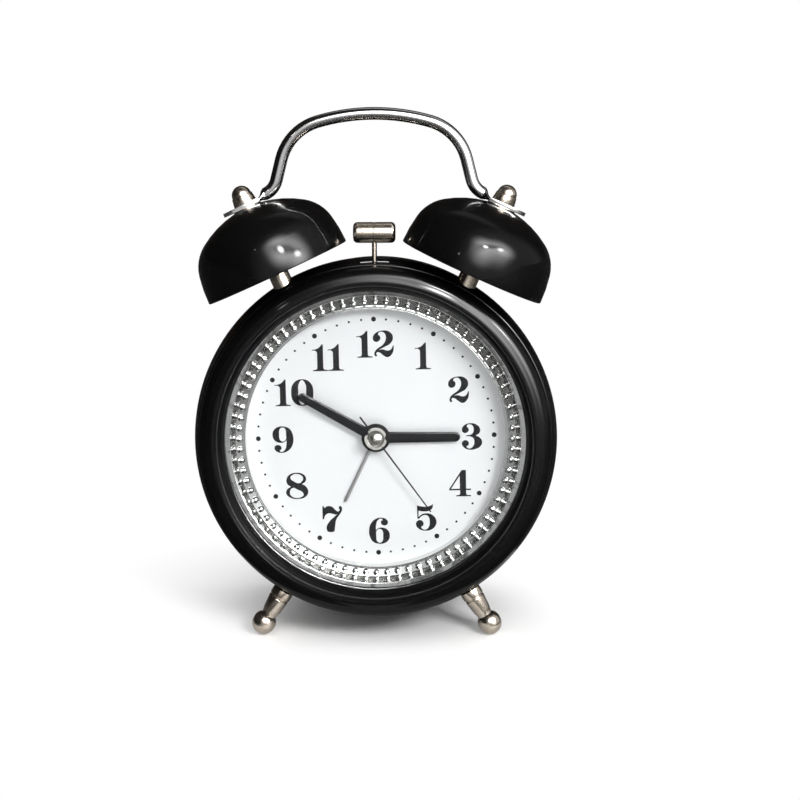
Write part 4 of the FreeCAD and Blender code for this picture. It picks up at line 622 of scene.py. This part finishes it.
SHORTEST_RUN = 0.01  # a run shorter than this is left out


def bend_rod(here, corners, radii):
    """Draws the selected ring along straight runs, and bends it round a corner where two runs meet."""
    for corner, after, radius in zip(corners, corners[1:], radii):
        ahead, onward = (corner - here).normalized(), (after - corner).normalized()
        turn = ahead.angle(onward)
        start = corner - ahead * radius * math.tan(turn / 2)
        middle = corner + (onward - ahead).normalized() * (radius / math.cos(turn / 2))
        bpy.ops.mesh.extrude_edges_move(TRANSFORM_OT_translate={"value": (start - here) * MM})
        bpy.ops.mesh.spin(steps=max(3, round(math.degrees(turn) / 6)), angle=-turn, center=middle * MM,
                          axis=ahead.cross(onward).normalized())
        here = corner + onward * radius * math.tan(turn / 2)
    if (corners[-1] - here).length > SHORTEST_RUN:
        bpy.ops.mesh.extrude_edges_move(TRANSFORM_OT_translate={"value": (corners[-1] - here) * MM})


# In the tab's own frame: X towards the middle of the clock, Z along the bell's axis, and the hole at the origin
rod = {"radius": 2.0, "rise": 0.8, "neck": 6.9}
crown = {"middle": Vector((22.063, 0, -49.199)), "turn": math.radians(16.4)}
tab = {"half_width": 3.7, "round_from": -4.2}
handle_corners = [Vector((10.1, 0, 0.8)), Vector((22.109, 0, 15.843)), Vector((31.137, 0, 14.558))]
bpy.ops.object.select_all(action="DESELECT")
bpy.ops.mesh.primitive_circle_add(vertices=32, radius=rod["radius"] * MM, rotation=(0, math.radians(90), 0),
                                  location=(rod["neck"] * MM, 0, rod["rise"] * MM))
handle = bpy.context.object
handle.name = "handle_rod"
bpy.ops.object.mode_set(mode="EDIT")
bend_rod(Vector((rod["neck"], 0, rod["rise"])), handle_corners, (6.5, 16.5))
bpy.ops.mesh.spin(steps=8, angle=-crown["turn"], center=crown["middle"] * MM, axis=(0, 1, 0))
# The flat end, by its reach, the height of its middle, its half width and its half thickness
FLATTENED = ((6.1, 0.62, 2.5, 1.6), (5.4, 0.3, 3.15, 0.95), (4.8, 0.1, 3.5, 0.68), (4.4, 0, tab["half_width"], 0.6))
pick(handle, lambda at: abs(at.x - rod["neck"] * MM) < NEAR)
section = (rod["neck"], rod["rise"], rod["radius"], rod["radius"])
for reach, rise, wide, thick in FLATTENED:
    move = Vector((reach - section[0], 0, rise - section[1])) * MM
    bpy.ops.mesh.extrude_edges_move(TRANSFORM_OT_translate={"value": move})
    bpy.ops.transform.resize(value=(1, wide / section[2], thick / section[3]),
                             center_override=(reach * MM, 0, rise * MM))
    section = (reach, rise, wide, thick)
for up in (-1, 1):
    pick(handle, lambda at: abs(at.x - section[0] * MM) < NEAR and at.z * up > 0.08 * MM)
    bpy.ops.transform.resize(value=(1, 1, 0), center_override=(0, 0, up * section[3] * MM))
pick(handle, lambda at: abs(at.x - section[0] * MM) < NEAR)
bpy.ops.mesh.extrude_edges_move(TRANSFORM_OT_translate={"value": ((tab["round_from"] - section[0]) * MM, 0, 0)})
reach, wide = tab["round_from"], tab["half_width"]
for turn in (20, 40, 60, 75, 86):
    next_reach = tab["round_from"] - tab["half_width"] * math.sin(math.radians(turn))
    next_wide = tab["half_width"] * math.cos(math.radians(turn))
    bpy.ops.mesh.extrude_edges_move(TRANSFORM_OT_translate={"value": ((next_reach - reach) * MM, 0, 0)})
    bpy.ops.transform.resize(value=(1, next_wide / wide, 1), center_override=(0, 0, 0))
    reach, wide = next_reach, next_wide
bpy.ops.mesh.edge_face_add()
settle(handle, on_bell(1, TAB_SEAT + TAB_THICKNESS / 2) @ Matrix.Rotation(math.radians(180), 4, "Z"))
other_half = handle.modifiers.new("other_half", "MIRROR")
other_half.merge_threshold = 2e-5
bpy.ops.object.modifier_apply(modifier=other_half.name)
settle(handle, Matrix.Identity(4), sharp=40)
# The arch is pressed down a little above this height
ARCH_FROM, PRESSED = 0.14, 0.995  # the height is in metres
pick(handle, lambda at: at.z > ARCH_FROM)
bpy.ops.transform.resize(value=(1, 1, PRESSED), center_override=(0, 0, ARCH_FROM))
bpy.ops.object.mode_set(mode="OBJECT")
handle.data.materials.append(chrome.material)
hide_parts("handle")
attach(handle, "clock_body")


# Legs
# Turned brass legs with a collar, a tapered body and a ball foot, nickel plated. Their threaded ends go through
# the case, and each ball is worn a little flat where it stands.

LEG_PLANE, LEG_ANGLE, LEG_REACH, FOOT_RADIUS = 6.5, 31.3, 71.26, 3.8
for name, side in SIDES:
    leg = drawn_out(f"{name}_turned_leg", [
        (0, 53.5), (1.9, 53.5), (1.9, 58.2), (3.3, 58.2), (3.45, 58.4, 0.1), (3.45, 60.8), (3.3, 61.0, 0.1),
        (3.0, 61.15), (3.0, 61.45), (3.25, 61.6), (3.3, 61.8, 0.1), (2.85, 66.2), (2.45, 68.1, -0.04),
        (FOOT_RADIUS, LEG_REACH, 0.14), (0, LEG_REACH + FOOT_RADIUS, 0.2071),
    ], sides=64)
    settle(leg, STANDING @ Matrix.Translation((0, LEG_PLANE * MM, 0))
           @ Matrix.Rotation(math.radians(side * (180 - LEG_ANGLE)), 4, "Y"))
    bpy.ops.object.mode_set(mode="EDIT")
    bpy.ops.mesh.select_all(action="SELECT")
    bpy.ops.mesh.bisect(plane_co=(0, 0, 0), plane_no=(0, 0, 1), clear_inner=True, use_fill=True, threshold=NEAR)
    bpy.ops.object.mode_set(mode="OBJECT")
    leg.data.materials.append(nickel.material)
    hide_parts(f"{name}_leg")
    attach(leg, "clock_body")


# Hammer
# A barrel turned in two halves that meet in a fine seam, on a bent wire that comes out of the case's slot. Both
# are nickel plated. It swings between the bells.

HEAD_HEIGHT = 66.4
hammer = turned("hammer_barrel", [
    (0, -6.7), (1.9, -6.7), (3.3, -5.3, 0.2071), (3.3, -0.2), (3.12, -0.06), (3.12, 0.06), (3.3, 0.2), (3.3, 5.3),
    (1.9, 6.7, 0.2071), (0, 6.7),
], STANDING @ Matrix.Translation((0, BELL_PLANE * MM, HEAD_HEIGHT * MM)) @ Matrix.Rotation(math.radians(90), 4, "Y"),
    sides=64)
hammer.data.materials.append(nickel.material)
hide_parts("hammer_head")
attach(hammer, "hammer_body")

# The wire's run from the head, down, back and down again to its lever
WIRE_TOP, WIRE_RADIUS, WIRE_BEND = 66.0, 0.8, 2.2
wire_corners = [Vector((0, BELL_PLANE, 54.9)), Vector((0, 15.3, 54.9)), Vector((0, 15.3, 39.0))]
bpy.ops.object.select_all(action="DESELECT")
bpy.ops.mesh.primitive_circle_add(vertices=20, radius=WIRE_RADIUS * MM, fill_type="NGON",
                                  location=(0, BELL_PLANE * MM, WIRE_TOP * MM))
wire = bpy.context.object
wire.name = "hammer_wire"
bpy.ops.object.mode_set(mode="EDIT")
bend_rod(Vector((0, BELL_PLANE, WIRE_TOP)), wire_corners, (WIRE_BEND, WIRE_BEND))
bpy.ops.mesh.edge_face_add()
settle(wire, STANDING, sharp=40)
wire.data.materials.append(nickel.material)
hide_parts("hammer_rod")
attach(wire, "hammer_body")


# Setting knobs
# Two moulded knobs on the setting arbors at the back, each with a ring of finger flutes and a dished end.

def moulded(name, tint, rough, grain_size, depth):
    """A moulded plastic with a fine spark-eroded grain."""
    paint = Paint(name, {"Base Color": tint, "Specular IOR Level": 0.45})
    spark = paint.grain(grain_size, 4)
    flow = paint.grain(90, 2)
    darker = tuple(part * 0.8 for part in tint)
    paint.give(paint.shader, {
        "Base Color": paint.mixed(flow, darker, tint),
        "Roughness": rough + 0.15 * spark,
    })
    paint.relief(spark, depth)
    return paint


cover_plastic = moulded("cover_plastic", (0.024, 0.024, 0.026), 0.42, 2600, 0.00004)
arbor = {"from_centre": 12, "below_level": math.radians(30), "cover": 43.0}
flutes = {"count": 24, "half_angle": math.radians(3), "waist": 0.93}
for kind, side in (("time", -1), ("alarm", 1)):
    name = f"{kind}_set_knob"
    middle = Vector((side * arbor["from_centre"] * math.cos(arbor["below_level"]), arbor["cover"],
                     -arbor["from_centre"] * math.sin(arbor["below_level"])))
    knob = drawn_out(f"{name}_grip", [
        (1.0, 0.3), (3.3, 0.3), (3.3, 1.3), (5.2, 1.3), (5.5, 1.6, 0.15), (5.55, 5.2), (5.1, 5.8, 0.2), (4.4, 5.8),
        (4.0, 5.5), (1.2, 5.3), (1.0, 5.3), (1.0, 0.3),
    ], sides=72)
    for flute in range(flutes["count"]):
        turn = 2 * math.pi * flute / flutes["count"]
        toward = Vector((math.cos(turn), math.sin(turn)))
        pick(knob, lambda at: at.xy.length > 5.3 * MM and 1.5 * MM < at.z < 5.3 * MM
             and at.xy.angle(toward) < flutes["half_angle"])
        bpy.ops.transform.resize(value=(flutes["waist"], flutes["waist"], 1), center_override=(0, 0, 0))
    bpy.ops.object.mode_set(mode="OBJECT")
    settle(knob, STANDING @ Matrix.Translation(middle * MM) @ Matrix.Rotation(math.radians(-90), 4, "X"), sharp=25)
    knob.data.materials.append(cover_plastic.material)
    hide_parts(name)
    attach(knob, f"{kind}_set_body")


# Inner works, rear cover and fasteners
# These keep the frame's own shapes: moulded frame, housing and wheels, the coil and its bracket, the board, the
# cell in its tray, and the cover with its door, switch and screws. Each gets the finish of its own stuff.

zinc = Paint("zinc_steel", {"Base Color": (0.5, 0.5, 0.48), "Metallic": 1.0})
spangle = zinc.grain(600, 4)
zinc.give(zinc.shader, {
    "Base Color": zinc.mixed(spangle, (0.6, 0.6, 0.585), (0.42, 0.42, 0.40)),
    "Roughness": 0.25 + 0.2 * spangle,
})
zinc.relief(spangle, 0.00001)
brass = Paint("brass", {"Base Color": (0.62, 0.45, 0.2), "Metallic": 1.0})
spun = brass.grain(1300, 4)
brass.give(brass.shader, {
    "Base Color": brass.mixed(spun, (0.68, 0.5, 0.24), (0.5, 0.35, 0.15)),
    "Roughness": 0.22 + 0.15 * spun,
})
copper = Paint("copper_winding", {"Base Color": (0.55, 0.22, 0.1), "Metallic": 0.9})
layers = copper.grain(6000, 1, (0.02, 0.3, 1))
copper.give(copper.shader, {
    "Base Color": copper.mixed(layers, (0.62, 0.27, 0.12), (0.34, 0.11, 0.05)),
    "Roughness": 0.25 + 0.2 * layers,
})
copper.relief(layers, 0.00008)
board_green = Paint("board", {"Base Color": (0.02, 0.09, 0.04), "Coat Weight": 0.5})
weave = board_green.grain(2200, 2)
board_green.give(board_green.shader, {
    "Base Color": board_green.mixed(weave, (0.015, 0.08, 0.035), (0.04, 0.13, 0.06)),
    "Roughness": 0.35 + 0.15 * weave,
})
jacket = Paint("cell_jacket", {"Base Color": (0.02, 0.05, 0.1), "Coat Weight": 0.6})
along = jacket.node("SeparateXYZ", sockets={"Vector": jacket.place}, output="X")
end_band = jacket.band(along, 0.0105, 0.0108)
film = jacket.grain(500, 3)
jacket.give(jacket.shader, {
    "Base Color": jacket.mixed(end_band, (0.012, 0.03, 0.07), (0.55, 0.38, 0.16)),
    "Roughness": 0.22 + 0.15 * film,
})
frame_plastic = moulded("frame_plastic", (0.7, 0.7, 0.68), 0.4, 1800, 0.00002)
movement_plastic = moulded("movement_plastic", (0.045, 0.045, 0.048), 0.38, 1500, 0.00002)
gear_plastic = moulded("gear_plastic", (0.68, 0.67, 0.62), 0.35, 1200, 0.00001)

FINISHES = {
    zinc: ("cover_screws", "movement_screws", "leg_nuts", "stud_nuts", "left_bell_stud", "right_bell_stud",
           "striker_bracket", "striker_core", "hammer_pivot_pin", "battery_contact", "battery_spring",
           "hammer_lever"),
    nickel: ("bell_washers",),
    brass: ("cannon_pinion",),
    copper: ("striker_coil",),
    board_green: ("circuit_board",),
    jacket: ("battery_cell",),
    frame_plastic: ("movement_frame",),
    movement_plastic: ("movement_front", "movement_back", "stepper_motor"),
    gear_plastic: ("alarm_wheel", "alarm_pinion", "hour_wheel", "minute_wheel", "centre_wheel", "third_wheel",
                   "seconds_wheel"),
    cover_plastic: ("rear_cover", "battery_door", "battery_tray", "alarm_switch"),
}
for paint, names in FINISHES.items():
    for name in names:
        nodes[name].data.materials.clear()
        nodes[name].data.materials.append(paint.material)


# Floor and light
# A white table that fades into a white surround, under a sky that dims towards the horizon. A soft lamp stands at
# the front to the right and a weaker one behind. The lacquer and the plating show a dark studio round the table that
# shows only in reflections: painted reflections with painted highlights, and the table painted dark in them.

class Surround(Paint):
    """The world's own nodes, with the same tools."""

    def __init__(self, name):
        world = bpy.data.worlds.new(name)
        world.use_nodes = True
        bpy.context.scene.world = world
        self.tree = world.node_tree
        self.place = self.node("TexCoord", output="Generated")


def seen(paint):
    """1 for what the camera sees, straight, in a mirror or through glass, and 0 for what lights the clock."""
    rays = [paint.node("LightPath", output=f"Is {kind} Ray") for kind in ("Camera", "Glossy", "Transmission")]
    return rays[0] + rays[1] + rays[2]


bpy.ops.object.select_all(action="DESELECT")
bpy.ops.mesh.primitive_plane_add(size=60, location=(0, 0, 0))
floor = bpy.context.object
floor.name = "table_top"
table = Paint("table_white", {"Base Color": (0.8, 0.8, 0.8), "Specular IOR Level": 0.25})
# To glossy rays the table is a darker grey: a painted dark reflection of the table in the lacquer and the metal
mirrored = table.node("LightPath", output="Is Glossy Ray")
pale = table.mixed(seen(table), (0.8, 0.8, 0.8), (0.98, 0.98, 0.98))
table.give(table.shader, {
    "Base Color": table.mixed(mirrored, pale, (0.3, 0.3, 0.3)),
    "Roughness": 0.3 + 0.1 * table.grain(30, 2),
})
oval = table.node("Mapping", sockets={"Vector": table.place, "Scale": (0.7, 1.25, 1)})
away = table.node("VectorMath", {"operation": "LENGTH"}, {0: oval}, output="Value")
white = table.node("Emission", sockets={"Color": (1, 1, 1), "Strength": 1.0})
lit = Value(table, table.shader.outputs[0])
far_off = table.node("MixShader", sockets={0: seen(table) * table.band(away, 0.03, 0.075), 1: lit, 2: white})
table.tree.links.new(far_off.socket, table.tree.nodes["Material Output"].inputs["Surface"])
floor.data.materials.append(table.material)


def mirrored_only(piece, paint):
    """A piece of the studio that only the lacquer and the metal show: it lights nothing and casts no shadow, and only
    paints their reflections.
    """
    piece.data.materials.append(paint.material)
    piece.visible_camera = piece.visible_diffuse = piece.visible_shadow = piece.visible_transmission = False


# A dark room round the table that shows only in reflections: a glowing painted reflection with a broad pale window at
# the front right, brown woodwork behind, and two painted highlights, whose directions are to the right, ahead and up
ROOM_RADIUS = 2.4
painted_highlights = {"at": ((0.237, 0.774, 0.588), (0.602, 0.623, 0.5)), "edge": 0.86, "strength": 26}
bpy.ops.object.select_all(action="DESELECT")
bpy.ops.mesh.primitive_uv_sphere_add(segments=64, ring_count=32, radius=ROOM_RADIUS, location=(0, 0, 0.1))
room = bpy.context.object
room.name = "room"
walls = Paint("painted_reflection_room", {"Base Color": (0, 0, 0), "Specular IOR Level": 0.0, "Emission Strength": 1.0})
across, back, up = (walls.node("SeparateXYZ", sockets={"Vector": walls.place}, output=axis) for axis in "XYZ")
# The room's glow is a painted reflection: a pale window and dark brown woodwork
window = walls.band(0.73 * across - 0.68 * back, 0.4, 1.2) * walls.band(up, -0.3, -0.1)
panels = walls.band(walls.grain(1.6, 2, (1, 1, 0.15)), 0.5, 0.6) * walls.band(back, 0.3, 0.9)
wood = walls.mixed(panels, (0.006, 0.005, 0.005), (0.035, 0.022, 0.015))
view = walls.mixed(window, wood, (0.55, 0.55, 0.56))
# Two bright patches on the room: painted highlights for the lacquer and the metal
for right, ahead, rise in painted_highlights["at"]:
    spread = walls.band(right * across - ahead * back + rise * up, painted_highlights["edge"] * ROOM_RADIUS, ROOM_RADIUS)
    view = walls.mixed(spread * spread * spread, view, [painted_highlights["strength"]] * 3)
walls.give(walls.shader, {"Emission Color": view})
mirrored_only(room, walls)

# A dark ring on the table, round a bare middle, that only reflections show: the table painted dark in the reflections
DARK_RING_HOLE, DARK_RING_SPREAD = 0.06, 38
bpy.ops.object.select_all(action="DESELECT")
bpy.ops.mesh.primitive_circle_add(vertices=64, radius=DARK_RING_HOLE, location=(0, 0, 0.001))
dark_reflection_ring = bpy.context.object
dark_reflection_ring.name = "dark_reflection_ring"
bpy.ops.object.mode_set(mode="EDIT")
bpy.ops.mesh.extrude_edges_move(TRANSFORM_OT_translate={"value": (0, 0, 0)})
bpy.ops.transform.resize(value=(DARK_RING_SPREAD, DARK_RING_SPREAD, 1))
bpy.ops.object.mode_set(mode="OBJECT")
mirrored_only(dark_reflection_ring, Paint("painted_dark_reflection", {"Base Color": (0.012, 0.011, 0.010), "Roughness": 0.9}))


def lit_panel(name, turn, rise, away, wide, tall, strength, core):
    """A glowing panel that faces the clock, is brightest at its core and shows only in reflections, as a painted
    highlight.
    The angles, in degrees, are to the right, up, and its width and height as the clock sees them."""
    turn, rise = math.radians(turn), math.radians(rise)
    out = Vector((math.sin(turn) * math.cos(rise), -math.cos(turn) * math.cos(rise), math.sin(rise)))
    bpy.ops.object.select_all(action="DESELECT")
    bpy.ops.mesh.primitive_plane_add(size=1, location=Vector((0, 0, 0.12)) + out * away,
                                     rotation=out.to_track_quat("Z", "Y").to_euler())
    panel = bpy.context.object
    panel.name = name
    panel.scale = (2 * away * math.tan(math.radians(wide / 2)), 2 * away * math.tan(math.radians(tall / 2)), 1)
    paint = Paint(f"{name}_light", {"Base Color": (0, 0, 0), "Specular IOR Level": 0.0,
                                    "Emission Strength": strength})
    off = paint.node("VectorMath", {"operation": "LENGTH"}, {0: paint.place}, output="Value")
    fall = paint.band(off, 0.5, core)
    paint.give(paint.shader, {"Emission Color": (1, 1, 1), "Alpha": fall * fall})
    mirrored_only(panel, paint)


# Glowing panels that only reflections show: painted highlights, and at the back a dim painted reflection
lit_panel("highlight_strip", 25, 37, 1.3, 80, 20, 5.0, 0.1)
lit_panel("highlight_left_pane", 17, 36, 1.2, 13, 10, 110.0, 0.15)
lit_panel("highlight_right_pane", 44, 30, 1.2, 16, 12, 80.0, 0.15)
lit_panel("highlight_side_spark", -27, 31, 1.2, 5, 4, 14.0, 0.1)
lit_panel("highlight_rear_panel", 160, 62, 1.6, 80, 30, 0.5, 0.2)


def lamp(name, at, towards, width, height, power):
    """A rectangular lamp that the lacquer and the metal don't show."""
    light = bpy.data.lights.new(name, "AREA")
    light.shape = "RECTANGLE"
    light.size, light.size_y = width, height
    light.energy = power
    holder = bpy.data.objects.new(name, light)
    holder.location = at
    holder.rotation_euler = (Vector(at) - Vector(towards)).to_track_quat("Z", "Y").to_euler()
    holder.visible_glossy = False
    bpy.context.scene.collection.objects.link(holder)


clock_middle = (0, 0, 0.1)
lamp("front_right", (0.39, -0.50, 0.50), clock_middle, 0.28, 0.22, 3.8)
lamp("rear_fill", (-0.35, 0.85, 0.6), clock_middle, 0.5, 0.4, 2.2)

sky = Surround("surround")
height = sky.node("SeparateXYZ", sockets={"Vector": sky.place}, output="Z")
daylight = sky.node("Background", sockets={"Color": (1, 1, 1), "Strength": 0.03 + 1.45 * sky.band(height, 0.0, 1.0)})
white_out = sky.node("Background", sockets={"Color": (1, 1, 1)})
either = sky.node("MixShader", sockets={0: seen(sky), 1: daylight, 2: white_out})
sky.tree.links.new(either.socket, sky.tree.nodes["World Output"].inputs["Surface"])
bpy.context.scene.view_settings.view_transform = "Standard"


# Camera
# A short telephoto, a little above the clock and a little to its right.

eye = bpy.data.cameras.new("camera")
eye.lens, eye.sensor_width = 81.018, 36.0
eye.clip_start, eye.clip_end = 0.05, 20
camera = bpy.data.objects.new("camera", eye)
camera.location = (0.0177408, -0.5548646, 0.2714487)
camera.rotation_euler = [math.radians(part) for part in (70.232503, 0.429620, 0.880939)]
bpy.context.scene.collection.objects.link(camera)
bpy.context.scene.camera = camera
